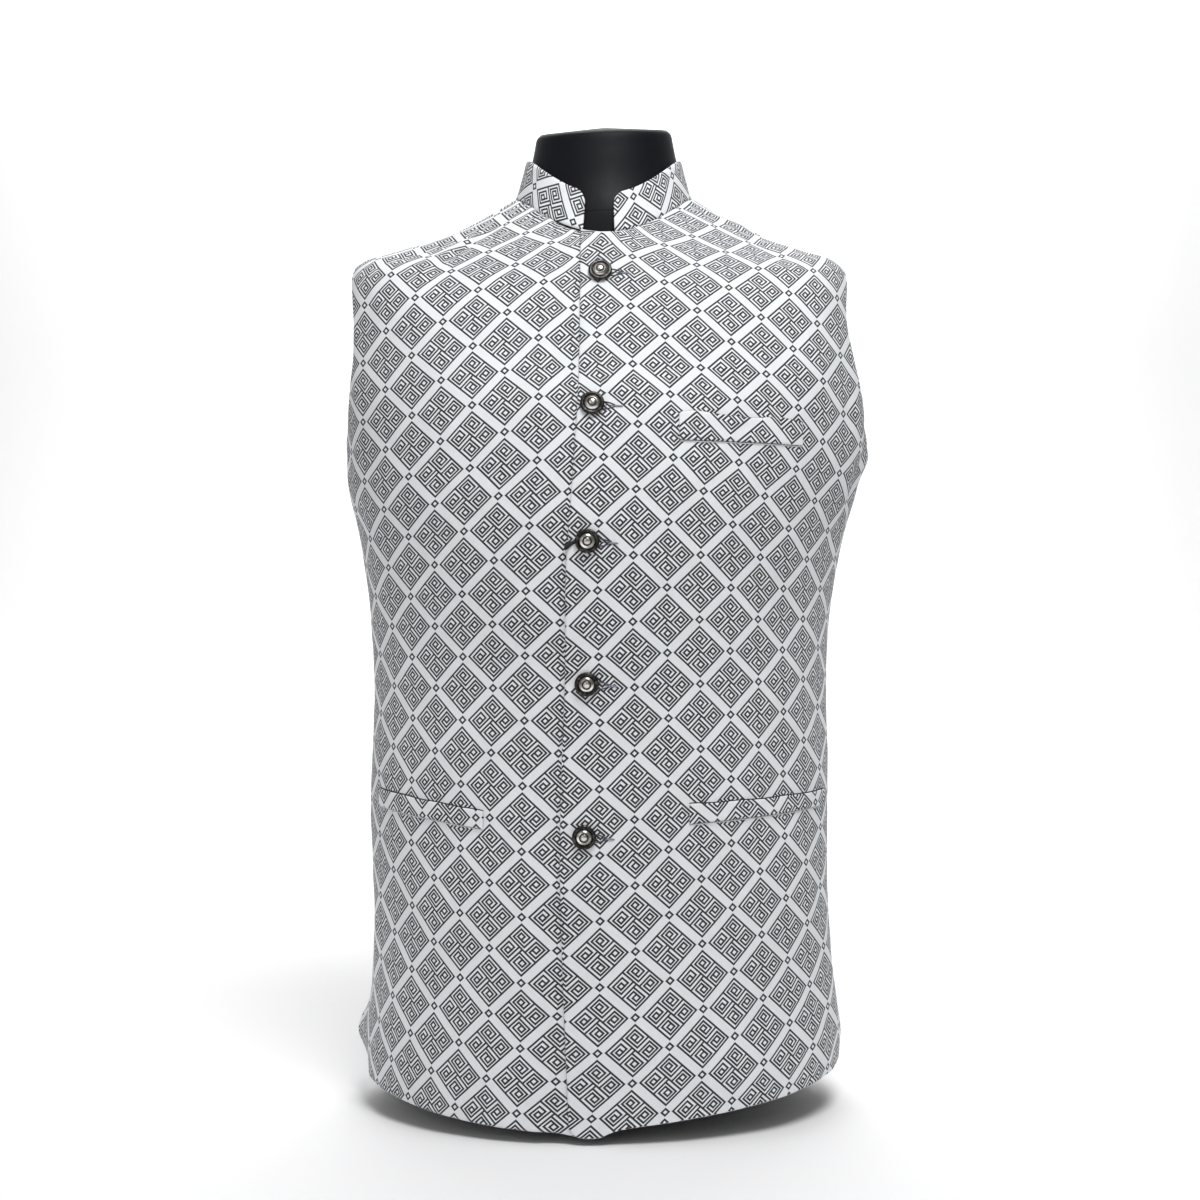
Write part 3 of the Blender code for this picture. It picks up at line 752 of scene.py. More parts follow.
def on_front(x, z):
    """Level, angle, point and normal of the front face at x and height z."""
    x = np.asarray(x, dtype=float)
    z = np.asarray(z, dtype=float)
    level = np.array(z, dtype=float)
    for _ in range(40):
        angle = angle_at_x(level, x)
        level = level + 0.8 * (z - surface(level, angle)[..., 2])
    angle = angle_at_x(level, x)
    normal = outward(level, angle)
    lift = fold_height(level, angle) + fold_height(level, angle, CREASES) + wave_height(level, angle)
    point = surface(level, angle)
    lift = lift + placket_pull(point)
    return level, angle, point + normal * lift[..., None], normal


# Mesh making
def new_mesh_object(name, points, faces, uvs=None, marks=None, materials=(), centred=True):
    """A smooth-shaded object from points in mm, with a UV for each point and a slot for each face."""
    points = np.asarray(points, dtype=float)
    if centred:
        points = points - (CENTRE_X, CENTRE_Y, 0)
    mesh = bpy.data.meshes.new(name)
    mesh.from_pydata((points * MM).tolist(), [], [tuple(face) for face in faces])
    if uvs is not None:
        layer = mesh.uv_layers.new(name="UVMap")
        corner = np.empty(len(mesh.loops), dtype=np.int32)
        mesh.loops.foreach_get("vertex_index", corner)
        layer.uv.foreach_set("vector", np.asarray(uvs, dtype=np.float32)[corner].ravel())
    for material in materials:
        mesh.materials.append(material)
    if marks is not None:
        mesh.polygons.foreach_set("material_index", np.asarray(marks, dtype=np.int32))
    mesh.polygons.foreach_set("use_smooth", np.ones(len(mesh.polygons), dtype=bool))
    mesh.update()
    thing = bpy.data.objects.new(name, mesh)
    bpy.context.scene.collection.objects.link(thing)
    return thing


def wall_object(name, outer, inner, uvs, materials, inside=1):
    """A closed wall between two grids. Its inner face takes the slot named by inside."""
    rows, columns = outer.shape[:2]
    points = np.concatenate([outer.reshape(-1, 3), inner.reshape(-1, 3)])
    offset = rows * columns
    first = (np.arange(rows - 1)[:, None] * columns + np.arange(columns - 1)[None, :]).ravel()
    quads = np.stack([first, first + 1, first + columns + 1, first + columns], axis=1)
    rim = list(range(columns))
    rim += [row * columns + columns - 1 for row in range(1, rows)]
    rim += [(rows - 1) * columns + place for place in range(columns - 2, -1, -1)]
    rim += [row * columns for row in range(rows - 2, 0, -1)]
    rim = np.array(rim)
    after = np.roll(rim, -1)
    edge = np.stack([after, rim, rim + offset, after + offset], axis=1)
    faces = np.concatenate([quads, quads[:, ::-1] + offset, edge])
    marks = np.concatenate(
        [np.zeros(len(quads)), np.full(len(quads), inside), np.zeros(len(edge))]
    )
    middle = outer[rows // 2, columns // 2] - inner[rows // 2, columns // 2]
    corners = points[faces[len(quads) // 2]]
    if np.dot(np.cross(corners[1] - corners[0], corners[2] - corners[0]), middle) < 0:
        faces = faces[:, ::-1]
    uv = np.concatenate([uvs.reshape(-1, 2)] * 2)
    return new_mesh_object(name, points, faces.tolist(), uv, marks, materials)


def ringed_object(name, rings, bottom, top, materials, uvs=None, marks=None):
    """A closed object of rings with a middle point at each end."""
    count = rings.shape[1]
    points = np.concatenate([rings.reshape(-1, 3), [bottom], [top]])
    low = len(points) - 2
    faces = []
    for ring in range(rings.shape[0] - 1):
        for place in range(count):
            following = (place + 1) % count
            first = ring * count
            below, above = first, first + count
            faces.append((below + place, below + following, above + following, above + place))
    last = (rings.shape[0] - 1) * count
    for place in range(count):
        following = (place + 1) % count
        faces.append((following, place, low))
        faces.append((last + place, last + following, low + 1))
    return new_mesh_object(name, points, faces, uvs, marks, materials)


def threads_object(name, paths, materials):
    """Round threads lying on the front, each from rows of across, up and radius in mm, and its slot."""
    points = []
    faces = []
    marks = []
    sides = 10
    around = np.linspace(0, 2 * math.pi, sides, endpoint=False)
    for path, mark in paths:
        keys = np.arange(len(path))
        at = np.linspace(0, len(path) - 1, 8 * (len(path) - 1) + 1)
        across, up, radius = (smooth(keys, path[:, item], at) for item in range(3))
        ends = np.minimum(np.arange(len(at)), np.arange(len(at))[::-1])
        radius = radius * np.sqrt(np.clip(ends / 4, 0.05, 1))
        twist = 1 + 0.09 * np.sin(np.arange(len(at)) * 1.9)
        _, _, centre, normal = on_front(across, up)
        forward = np.gradient(centre, axis=0)
        forward = forward / np.linalg.norm(forward, axis=1, keepdims=True)
        side = np.cross(normal, forward)
        size = (radius * twist)[:, None, None]
        lift = (np.sin(around)[None, :, None] + 0.45) * size
        rings = centre[:, None] + side[:, None] * (np.cos(around)[None, :, None] * size)
        rings = rings + normal[:, None] * lift
        first = len(points)
        points += rings.reshape(-1, 3).tolist()
        points += [centre[0].tolist(), centre[-1].tolist()]
        last = first + (len(at) - 1) * sides
        for place in range(sides):
            after = (place + 1) % sides
            for ring in range(first, last, sides):
                faces.append((ring + place, ring + after, ring + sides + after, ring + sides + place))
            faces.append((first + after, first + place, last + sides))
            faces.append((last + place, last + after, last + sides + 1))
        marks += [mark] * (len(faces) - len(marks))
    return new_mesh_object(name, points, faces, None, marks, materials)


def keep(piece, slot, *nodes):
    """The piece rides with the jacket and stands for its solids, which it hides; the slot is not used.
    """
    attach(piece, "root")
    if nodes:
        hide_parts(*nodes)


# Node groups
class Tree:
    """Short calls for adding and joining nodes of one tree."""

    def __init__(self, tree):
        self.tree = tree
        self.place = 0

    def node(self, kind, settings=None, **inputs):
        made = self.tree.nodes.new(kind)
        made.location = (180 * (self.place % 12), -220 * (self.place // 12))
        self.place += 1
        for name, value in (settings or {}).items():
            setattr(made, name, value)
        for name, value in inputs.items():
            self.feed(made.inputs[name.replace("_", " ")], value)
        return made

    def feed(self, socket, value):
        if isinstance(value, bpy.types.NodeSocket):
            self.tree.links.new(value, socket)
        elif value is not None:
            socket.default_value = value

    def math(self, operation, *values):
        made = self.node("ShaderNodeMath", {"operation": operation})
        for socket, value in zip(made.inputs, values):
            self.feed(socket, value)
        return made.outputs[0]

    def vector(self, operation, *values):
        made = self.node("ShaderNodeVectorMath", {"operation": operation})
        for socket, value in zip(made.inputs, values):
            self.feed(socket, value)
        return made.outputs["Value" if operation in ("DOT_PRODUCT", "LENGTH") else "Vector"]

    def mix(self, factor, first, second, blend="MIX"):
        made = self.node("ShaderNodeMix", {"data_type": "RGBA", "blend_type": blend})
        for place, value in ((0, factor), (6, first), (7, second)):
            self.feed(made.inputs[place], value)
        return made.outputs[2]

    def remap(self, value, low, high, to_low=0.0, to_high=1.0, smooth_step=False):
        made = self.node("ShaderNodeMapRange")
        if smooth_step:
            made.interpolation_type = "SMOOTHSTEP"
        for socket, item in zip(made.inputs, (value, low, high, to_low, to_high)):
            self.feed(socket, item)
        return made.outputs[0]

    def group(self, name, **inputs):
        made = self.node("ShaderNodeGroup", {"node_tree": bpy.data.node_groups[name]})
        for label, value in inputs.items():
            self.feed(made.inputs[label.replace("_", " ")], value)
        return made.outputs


def start_group(name, inputs, outputs):
    """An empty shader group with named sockets, its builder, and its input and output nodes."""
    group = bpy.data.node_groups.new(name, "ShaderNodeTree")
    for label, kind, value in inputs:
        socket = group.interface.new_socket(label, in_out="INPUT", socket_type="NodeSocket" + kind)
        if value is not None:
            socket.default_value = value
    for label, kind in outputs:
        group.interface.new_socket(label, in_out="OUTPUT", socket_type="NodeSocket" + kind)
    tree = Tree(group)
    return tree, tree.node("NodeGroupInput").outputs, tree.node("NodeGroupOutput").inputs


def build_bar_groups():
    """Distance from a straight bar, and from the outline of a square, on the chart."""
    tree, given, out = start_group(
        "Bar distance",
        (("Position", "Vector", None), ("Middle", "Vector", None), ("Half Size", "Vector", None)),
        (("Distance", "Float"),),
    )
    away = tree.vector("ABSOLUTE", tree.vector("SUBTRACT", given["Position"], given["Middle"]))
    parts = tree.node("ShaderNodeSeparateXYZ", Vector=tree.vector("SUBTRACT", away, given["Half Size"]))
    tree.feed(out["Distance"], tree.math("MAXIMUM", parts.outputs["X"], parts.outputs["Y"]))
    tree, given, out = start_group(
        "Square distance",
        (("Position", "Vector", None), ("Middle", "Vector", None), ("Half Side", "Float", 1.0)),
        (("Distance", "Float"),),
    )
    away = tree.vector("ABSOLUTE", tree.vector("SUBTRACT", given["Position"], given["Middle"]))
    parts = tree.node("ShaderNodeSeparateXYZ", Vector=away)
    reach = tree.math("MAXIMUM", parts.outputs["X"], parts.outputs["Y"])
    tree.feed(out["Distance"], tree.math("ABSOLUTE", tree.math("SUBTRACT", reach, given["Half Side"])))


def build_print_group():
    """The printed lattice of squares with stepped spirals, from half repeats across and up."""
    build_bar_groups()
    tree, given, out = start_group(
        "Key lattice print",
        (("Place", "Vector", None), ("Line Width", "Float", 0.75), ("Softness", "Float", 0.12)),
        (("Line", "Float"),),
    )
    right = tree.vector("DOT_PRODUCT", given["Place"], (0.5, -0.5, 0.0))
    up = tree.vector("DOT_PRODUCT", given["Place"], (0.5, 0.5, 0.0))
    cell = tree.node("ShaderNodeCombineXYZ", X=tree.math("FRACT", right), Y=tree.math("FRACT", up))
    centred = tree.vector("SUBTRACT", cell.outputs[0], (0.5, 0.5, 0.0))
    scaled = tree.vector("MULTIPLY", centred, (REPEAT_SIDE, REPEAT_SIDE, 0.0))
    position = tree.vector("ADD", scaled, (SQUARE_SIDE / 2, SQUARE_SIDE / 2, 0.0))
    nearest = None
    for line in KEY_LINES:
        for (x0, y0), (x1, y1) in zip(line, line[1:]):
            found = tree.group(
                "Bar distance",
                Position=position,
                Middle=((x0 + x1) / 2, (y0 + y1) / 2, 0.0),
                Half_Size=(abs(x1 - x0) / 2, abs(y1 - y0) / 2, 0.0),
            )["Distance"]
            nearest = found if nearest is None else tree.math("MINIMUM", nearest, found)
    for x, y, half in KEY_SQUARES:
        found = tree.group("Square distance", Position=position, Middle=(x, y, 0.0), Half_Side=half)
        nearest = tree.math("MINIMUM", nearest, found["Distance"])
    turned = tree.vector("SUBTRACT", tree.vector("ABSOLUTE", centred), (0.5, 0.5, 0.0))
    corner = tree.vector("MULTIPLY", turned, (REPEAT_SIDE, REPEAT_SIDE, 0.0))
    found = tree.group("Square distance", Position=corner, Half_Side=CORNER_SQUARE_HALF)["Distance"]
    nearest = tree.math("MINIMUM", nearest, found)
    half = tree.math("MULTIPLY", given["Line Width"], 0.5)
    low = tree.math("ADD", half, given["Softness"])
    high = tree.math("SUBTRACT", half, given["Softness"])
    tree.feed(out["Line"], tree.remap(nearest, low, high, smooth_step=True))


def build_weave_group():
    """Fine plain weave: raised warp and weft threads, with slubs, from a place in mm. Its tone is
    uneven along the slubs and darker between the raised threads, as painted shade.
    """
    tree, given, out = start_group(
        "Fine weave",
        (("Place", "Vector", None), ("Thread", "Float", 0.45), ("Slub", "Float", 0.3)),
        (("Height", "Float"), ("Slub Tone And Shade", "Float")),
    )
    pitch = tree.math("DIVIDE", math.pi, given["Thread"])
    scaled = tree.node("ShaderNodeVectorMath", {"operation": "SCALE"}, Vector=given["Place"])
    tree.feed(scaled.inputs["Scale"], pitch)
    parts = tree.node("ShaderNodeSeparateXYZ", Vector=scaled.outputs[0])
    across = tree.math("ABSOLUTE", tree.math("SINE", parts.outputs["X"]))
    up = tree.math("ABSOLUTE", tree.math("SINE", parts.outputs["Y"]))
    slow = tree.math("SINE", tree.math("MULTIPLY", parts.outputs["X"], 0.5))
    other = tree.math("SINE", tree.math("MULTIPLY", parts.outputs["Y"], 0.5))
    over = tree.remap(tree.math("MULTIPLY", slow, other), -0.15, 0.15, smooth_step=True)
    made = tree.node("ShaderNodeMix", {"data_type": "FLOAT"})
    for socket, value in zip(made.inputs[:4], (over, None, across, up)):
        tree.feed(socket, value)
    height = made.outputs[0]
    stretched = tree.vector("MULTIPLY", given["Place"], (0.35, 2.2, 1.0))
    slub = tree.node(
        "ShaderNodeTexNoise", {"noise_dimensions": "2D"}, Vector=stretched, Scale=1.0, Detail=3.0
    )
    uneven = tree.math("MULTIPLY", tree.math("SUBTRACT", slub.outputs[0], 0.5), given["Slub"])
    tree.feed(out["Height"], tree.math("ADD", height, uneven))
    # Tone: painted shade between the raised threads, and uneven slubs.
    tone = tree.math("ADD", tree.math("MULTIPLY", height, 0.10), tree.math("MULTIPLY", uneven, 0.55))
    tree.feed(out["Slub Tone And Shade"], tree.math("ADD", tone, 0.93))


def build_wear_group():
    """Slow uneven patches, as of handling, from a place in metres."""
    tree, given, out = start_group(
        "Uneven patches",
        (
            ("Place", "Vector", None),
            ("Scale", "Float", 20.0),
            ("Low", "Float", 0.95),
            ("High", "Float", 1.05),
        ),
        (("Value", "Float"),),
    )
    noise = tree.node("ShaderNodeTexNoise", Vector=given["Place"], Detail=4.0)
    tree.feed(noise.inputs["Scale"], given["Scale"])
    tree.feed(out["Value"], tree.remap(noise.outputs[0], 0.3, 0.7, given["Low"], given["High"]))


def start_material(name):
    material = bpy.data.materials.new(name)
    material.use_nodes = True
    material.node_tree.nodes.clear()
    tree = Tree(material.node_tree)
    shader = tree.node("ShaderNodeBsdfPrincipled")
    tree.node("ShaderNodeOutputMaterial", Surface=shader.outputs[0])
    return material, tree, shader


def printed_cloth(name, settings):
    """Satin suiting with the printed lattice."""
    material, tree, shader = start_material(name)
    place = tree.node("ShaderNodeUVMap", {"uv_map": "UVMap"}).outputs[0]
    pattern = tree.group("Key lattice print", Place=place, Line_Width=settings.line_width)
    threads = tree.vector("MULTIPLY", place, (HALF_ACROSS, HALF_UP, 0.0))
    weave = tree.group("Fine weave", Place=threads, Thread=settings.thread)
    where = tree.node("ShaderNodeTexCoord").outputs["Object"]
    patches = tree.group("Uneven patches", Place=where, Scale=9.0, Low=0.97, High=1.02)["Value"]
    ground = tuple(settings.ground_colour) + (1.0,)
    ink = tuple(settings.line_colour) + (1.0,)
    worn = tree.math("SUBTRACT", 1.04, tree.math("MULTIPLY", weave["Slub Tone And Shade"], 0.08))
    faded = tree.math("MULTIPLY", pattern["Line"], worn)
    colour = tree.mix(faded, ground, ink)
    # The colour is scaled by the weave's tone, darker between the threads as painted shade, and by slow
    # uneven patches.
    toned = tree.node("ShaderNodeVectorMath", {"operation": "SCALE"}, Vector=colour)
    tree.feed(toned.inputs["Scale"], tree.math("MULTIPLY", weave["Slub Tone And Shade"], patches))
    tree.feed(shader.inputs["Base Color"], toned.outputs[0])
    rough = tree.remap(pattern["Line"], 0.0, 1.0, settings.roughness, settings.roughness + 0.1)
    tree.feed(shader.inputs["Roughness"], rough)
    drawn = tree.vector("MULTIPLY", where, (1.0, 1.0, 0.55))
    rumple = tree.group("Uneven patches", Place=drawn, Scale=34.0, Low=0.0, High=1.0)["Value"]
    soft = tree.node("ShaderNodeBump", Strength=0.8, Distance=0.0014)
    tree.feed(soft.inputs["Height"], rumple)
    bump = tree.node("ShaderNodeBump", Strength=0.35, Distance=0.00022, Normal=soft.outputs[0])
    tree.feed(bump.inputs["Height"], weave["Height"])
    tree.feed(shader.inputs["Normal"], bump.outputs[0])
    shader.inputs["Sheen Weight"].default_value = 0.02
    shader.inputs["Sheen Roughness"].default_value = 0.45
    shader.inputs["Specular IOR Level"].default_value = 0.2
    return material


def plain_cloth(name, colour, roughness, thread):
    """Plain woven lining."""
    material, tree, shader = start_material(name)
    place = tree.node("ShaderNodeUVMap", {"uv_map": "UVMap"}).outputs[0]
    scaled = tree.vector("MULTIPLY", place, (HALF_ACROSS, HALF_UP, 0.0))
    weave = tree.group("Fine weave", Place=scaled, Thread=thread)
    # The colour is scaled by the weave's tone, darker between the threads as painted shade.
    toned = tree.node("ShaderNodeVectorMath", {"operation": "SCALE"}, Vector=tuple(colour))
    tree.feed(toned.inputs["Scale"], weave["Slub Tone And Shade"])
    tree.feed(shader.inputs["Base Color"], toned.outputs[0])
    shader.inputs["Roughness"].default_value = roughness
    bump = tree.node("ShaderNodeBump", Strength=0.3, Distance=0.0002)
    tree.feed(bump.inputs["Height"], weave["Height"])
    tree.feed(shader.inputs["Normal"], bump.outputs[0])
    return material


def form_material(name, settings):
    """Smooth black shell with a faint uneven satin."""
    material, tree, shader = start_material(name)
    shader.inputs["Specular IOR Level"].default_value = 0.14
    where = tree.node("ShaderNodeTexCoord").outputs["Object"]
    colour = tree.mix(
        tree.group("Uneven patches", Place=where, Scale=14.0, Low=0.0, High=1.0)["Value"],
        tuple(value * 0.75 for value in settings.colour) + (1.0,),
        tuple(value * 1.35 for value in settings.colour) + (1.0,),
    )
    height = tree.node("ShaderNodeSeparateXYZ", Vector=where).outputs["Z"]
    away = tree.math("ABSOLUTE", tree.math("SUBTRACT", height, NECK_SEAM_Z * MM))
    seam = tree.remap(away, 0.0011, 0.0004, smooth_step=True)
    tree.feed(shader.inputs["Base Color"], tree.mix(seam, colour, (0.0015, 0.0015, 0.002, 1.0)))
    low, high = settings.roughness - 0.05, settings.roughness + 0.07
    rough = tree.group("Uneven patches", Place=where, Scale=60.0, Low=low, High=high)
    tree.feed(shader.inputs["Roughness"], rough["Value"])
    grain = tree.node("ShaderNodeTexNoise", Vector=where, Scale=900.0, Detail=3.0)
    bump = tree.node("ShaderNodeBump", Strength=0.12, Distance=0.0002)
    depth = tree.math("MULTIPLY", seam, 4.0)
    tree.feed(bump.inputs["Height"], tree.math("SUBTRACT", grain.outputs[0], depth))
    tree.feed(shader.inputs["Normal"], bump.outputs[0])
    return material


def button_material(name, settings):
    """Antique silver: bright on the dome, dark in the grooves and on the rim, with painted reflections:
    a brighter ring on the dome's lower side and a bright centre boss.
    """
    material, tree, shader = start_material(name)
    place = tree.node("ShaderNodeUVMap", {"uv_map": "UVMap"}).outputs[0]
    parts = tree.node("ShaderNodeSeparateXYZ", Vector=place)
    turn, radius = parts.outputs["X"], parts.outputs["Y"]
    # Painted reflection: the ring round the dome is bright only towards the button's lower side, and
    # the centre boss is painted bright.
    facing = tree.math("COSINE", tree.math("MULTIPLY", tree.math("SUBTRACT", turn, 0.70), 2 * math.pi))
    below = tree.remap(facing, -0.2, 0.85, smooth_step=True)
    painted_boss_highlight = tree.remap(radius, 0.27, 0.19, smooth_step=True)
    from_ring = tree.math("ABSOLUTE", tree.math("SUBTRACT", radius, 0.50))
    ring = tree.math("MULTIPLY", tree.remap(from_ring, 0.13, 0.06, smooth_step=True), below)
    body = tree.remap(radius, 0.66, 0.58, 0.0, 0.34, smooth_step=True)
    bright = tree.math("MAXIMUM", tree.math("MULTIPLY", painted_boss_highlight, 0.85), tree.math("MAXIMUM", ring, body))
    from_groove = tree.math("ABSOLUTE", tree.math("SUBTRACT", radius, 0.335))
    groove = tree.remap(from_groove, 0.075, 0.02, smooth_step=True)
    bright = tree.math("SUBTRACT", bright, tree.math("MULTIPLY", groove, 0.5))
    where = tree.node("ShaderNodeTexCoord").outputs["Object"]
    tarnish = tree.group("Uneven patches", Place=where, Scale=420.0, Low=-0.18, High=0.22)["Value"]
    # The painted reflections and the tarnish together set the mix between the rim's and the dome's
    # colour.
    patina_and_reflection_mask = tree.math("ADD", bright, tree.math("MULTIPLY", tarnish, 0.5))
    patina_and_reflection_mask = tree.remap(patina_and_reflection_mask, 0.0, 1.0)
    colour = tree.mix(patina_and_reflection_mask, tuple(settings.rim_colour) + (1.0,), tuple(settings.dome_colour) + (1.0,))
    tree.feed(shader.inputs["Base Color"], colour)
    shader.inputs["Metallic"].default_value = 1.0
    tree.feed(shader.inputs["Roughness"], tree.remap(patina_and_reflection_mask, 0.0, 1.0, 0.34, 0.17))
    fine = tree.node("ShaderNodeTexNoise", Vector=where, Scale=1500.0, Detail=2.0)
    bump = tree.node("ShaderNodeBump", Strength=0.25, Distance=0.00012)
    tree.feed(bump.inputs["Height"], fine.outputs[0])
    tree.feed(shader.inputs["Normal"], bump.outputs[0])
    return material


def thread_material(name, colour):
    """Twisted sewing thread, darker in the grooves of its twist as painted shade."""
    material, tree, shader = start_material(name)
    where = tree.node("ShaderNodeTexCoord").outputs["Object"]
    wave = tree.node(
        "ShaderNodeTexWave", {"bands_direction": "DIAGONAL"}, Vector=where, Scale=420.0, Distortion=1.5
    )
    # Painted shade: the colour darkens where the twist's bump is low.
    dark = tuple(value * 0.6 for value in colour) + (1.0,)
    tree.feed(shader.inputs["Base Color"], tree.mix(wave.outputs["Fac"], dark, tuple(colour) + (1.0,)))
    tree.feed(shader.inputs["Roughness"], tree.remap(wave.outputs["Fac"], 0.0, 1.0, 0.75, 0.55))
    bump = tree.node("ShaderNodeBump", Strength=0.5, Distance=0.0001)
    tree.feed(bump.inputs["Height"], wave.outputs["Fac"])
    tree.feed(shader.inputs["Normal"], bump.outputs[0])
    return material


def material_named(name, make, *details):
    """The material of this name, made on first use."""
    return bpy.data.materials.get(name) or make(name, *details)


def build_groups():
    """The node groups that several materials share, built once."""
    if "Uneven patches" not in bpy.data.node_groups:
        build_print_group()
        build_weave_group()
        build_wear_group()


def cloth_materials(settings):
    """The printed face and the lining."""
    build_groups()
    return (
        material_named("cloth_print", printed_cloth, settings),
        material_named("lining", plain_cloth, settings.lining_colour, 0.42, 0.3),
    )


# Settings
def tint(name, description, colour):
    """A colour setting."""
    return bpy.props.FloatVectorProperty(
        name=name, description=description, default=colour, size=3, subtype="COLOR", min=0, max=1
    )


class JacketCloth(bpy.types.PropertyGroup):
    wall: bpy.props.FloatProperty(
        name="Wall", description="Thickness of cloth, interlining and lining together",
        default=CLOTH_WALL * MM, min=0.0008, max=0.004, unit="LENGTH",
    )
    step: bpy.props.FloatProperty(
        name="Mesh step", description="Distance between the rows of the cloth's mesh",
        default=0.0034, min=0.002, max=0.02, unit="LENGTH",
    )
    ground_colour: tint(
        "Ground", "Colour of the cloth between the printed lines", (0.78, 0.795, 0.82)
    )
    line_colour: tint("Lines", "Colour of the printed lines", (0.004, 0.006, 0.010))
    lining_colour: tint("Lining", "Colour of the inner face", (0.30, 0.31, 0.34))
    line_width: bpy.props.FloatProperty(
        name="Line width", description="Width of the printed lines on a square of side 22",
        default=1.14, min=0.2, max=2.5,
    )
    thread: bpy.props.FloatProperty(
        name="Thread", description="Distance between threads of the weave, in millimetres",
        default=0.5, min=0.1, max=3.0,
    )
    roughness: bpy.props.FloatProperty(
        name="Roughness", description="Roughness of the satin face", default=0.5, min=0, max=1,
    )


class JacketButtons(bpy.types.PropertyGroup):
    radius: bpy.props.FloatProperty(
        name="Radius", description="Half the width of a button", default=0.0089,
        min=0.004, max=0.02, unit="LENGTH",
    )
    rim_colour: tint("Rim", "Colour of the dark rim and grooves", (0.032, 0.028, 0.026))
    dome_colour: tint("Dome", "Colour of the bright dome", (0.86, 0.83, 0.79))
    thread_colour: tint(
        "Buttonhole thread", "Colour of the thread round each buttonhole", (0.07, 0.078, 0.10)
    )
    bar_colour: tint(
        "Buttonhole bar", "Colour of the bar at the end of each buttonhole", (0.26, 0.29, 0.36)
    )


class JacketForm(bpy.types.PropertyGroup):
    colour: tint("Colour", "Colour of the dress form", (0.0045, 0.005, 0.0075))
    roughness: bpy.props.FloatProperty(
        name="Roughness", description="Roughness of the form's shell", default=0.5, min=0, max=1,
    )


class JacketStage(bpy.types.PropertyGroup):
    camera_distance: bpy.props.FloatProperty(
        name="Camera distance", description="Distance of the camera from the middle of the form",
        default=1.33762, min=0.5, max=5.0, unit="LENGTH",
    )
    camera_height: bpy.props.FloatProperty(
        name="Camera height", description="Height of the camera",
        default=0.4, min=0.0, max=3.0, unit="LENGTH",
    )
    lens: bpy.props.FloatProperty(
        name="Lens", description="Focal length on a 36 mm sensor", default=50.4, min=10, max=200,
    )
    floor_colour: tint("Floor", "Colour of the floor and backdrop", (0.93, 0.93, 0.935))


# Pieces
def panel_shell(levels, angles, wall, sink=None, pull=False):
    """Outer and inner points of a panel, with its folds and creases."""
    level = np.repeat(levels[:, None], angles.shape[1], axis=1)
    points = surface(level, angles)
    normals = outward(level, angles)
    lift = fold_height(level, angles) + fold_height(level, angles, CREASES)
    lift = lift + wave_height(level, angles)
    if pull:
        lift = lift + placket_pull(points)
    if sink is not None:
        lift = lift - sink(points)
    outer = points + normals * lift[..., None]
    return shell(outer, normals, wall) + (level,)


class MESH_OT_jacket_fronts(bpy.types.Operator):
    """Add the over front and the under front of the jacket"""

    bl_idname = "mesh.jacket_fronts"
    bl_label = "Add fronts"

    def execute(self, context):
        cloth = context.scene.jacket_cloth
        materials = cloth_materials(cloth)
        for side, name in ((1, "front_left"), (-1, "front_right")):
            levels, angles = front_angles(side, cloth.step / MM)
            sink = under_sink if side < 0 else None
            outer, inner, level = panel_shell(levels, angles, cloth.wall / MM, sink, True)
            piece = wall_object(
                name + "_cloth", outer, inner, front_print(level, angles, side), materials
            )
            keep(piece, "cloth", name)
        return {"FINISHED"}


class MESH_OT_jacket_back(bpy.types.Operator):
    """Add the back of the jacket"""

    bl_idname = "mesh.jacket_back"
    bl_label = "Add back"

    def execute(self, context):
        cloth = context.scene.jacket_cloth
        materials = cloth_materials(cloth)
        step = cloth.step / MM
        levels = panel_levels(step)
        start = angle_at_y(levels, outer_y(levels, False), 1)
        end = angle_at_y(levels, outer_y(levels, False), -1)
        angles = spread(levels, start, end, step)
        outer, inner, level = panel_shell(levels, angles, cloth.wall / MM)
        piece = wall_object("back_cloth", outer, inner, back_print(level, angles), materials)
        keep(piece, "cloth", "back")
        return {"FINISHED"}


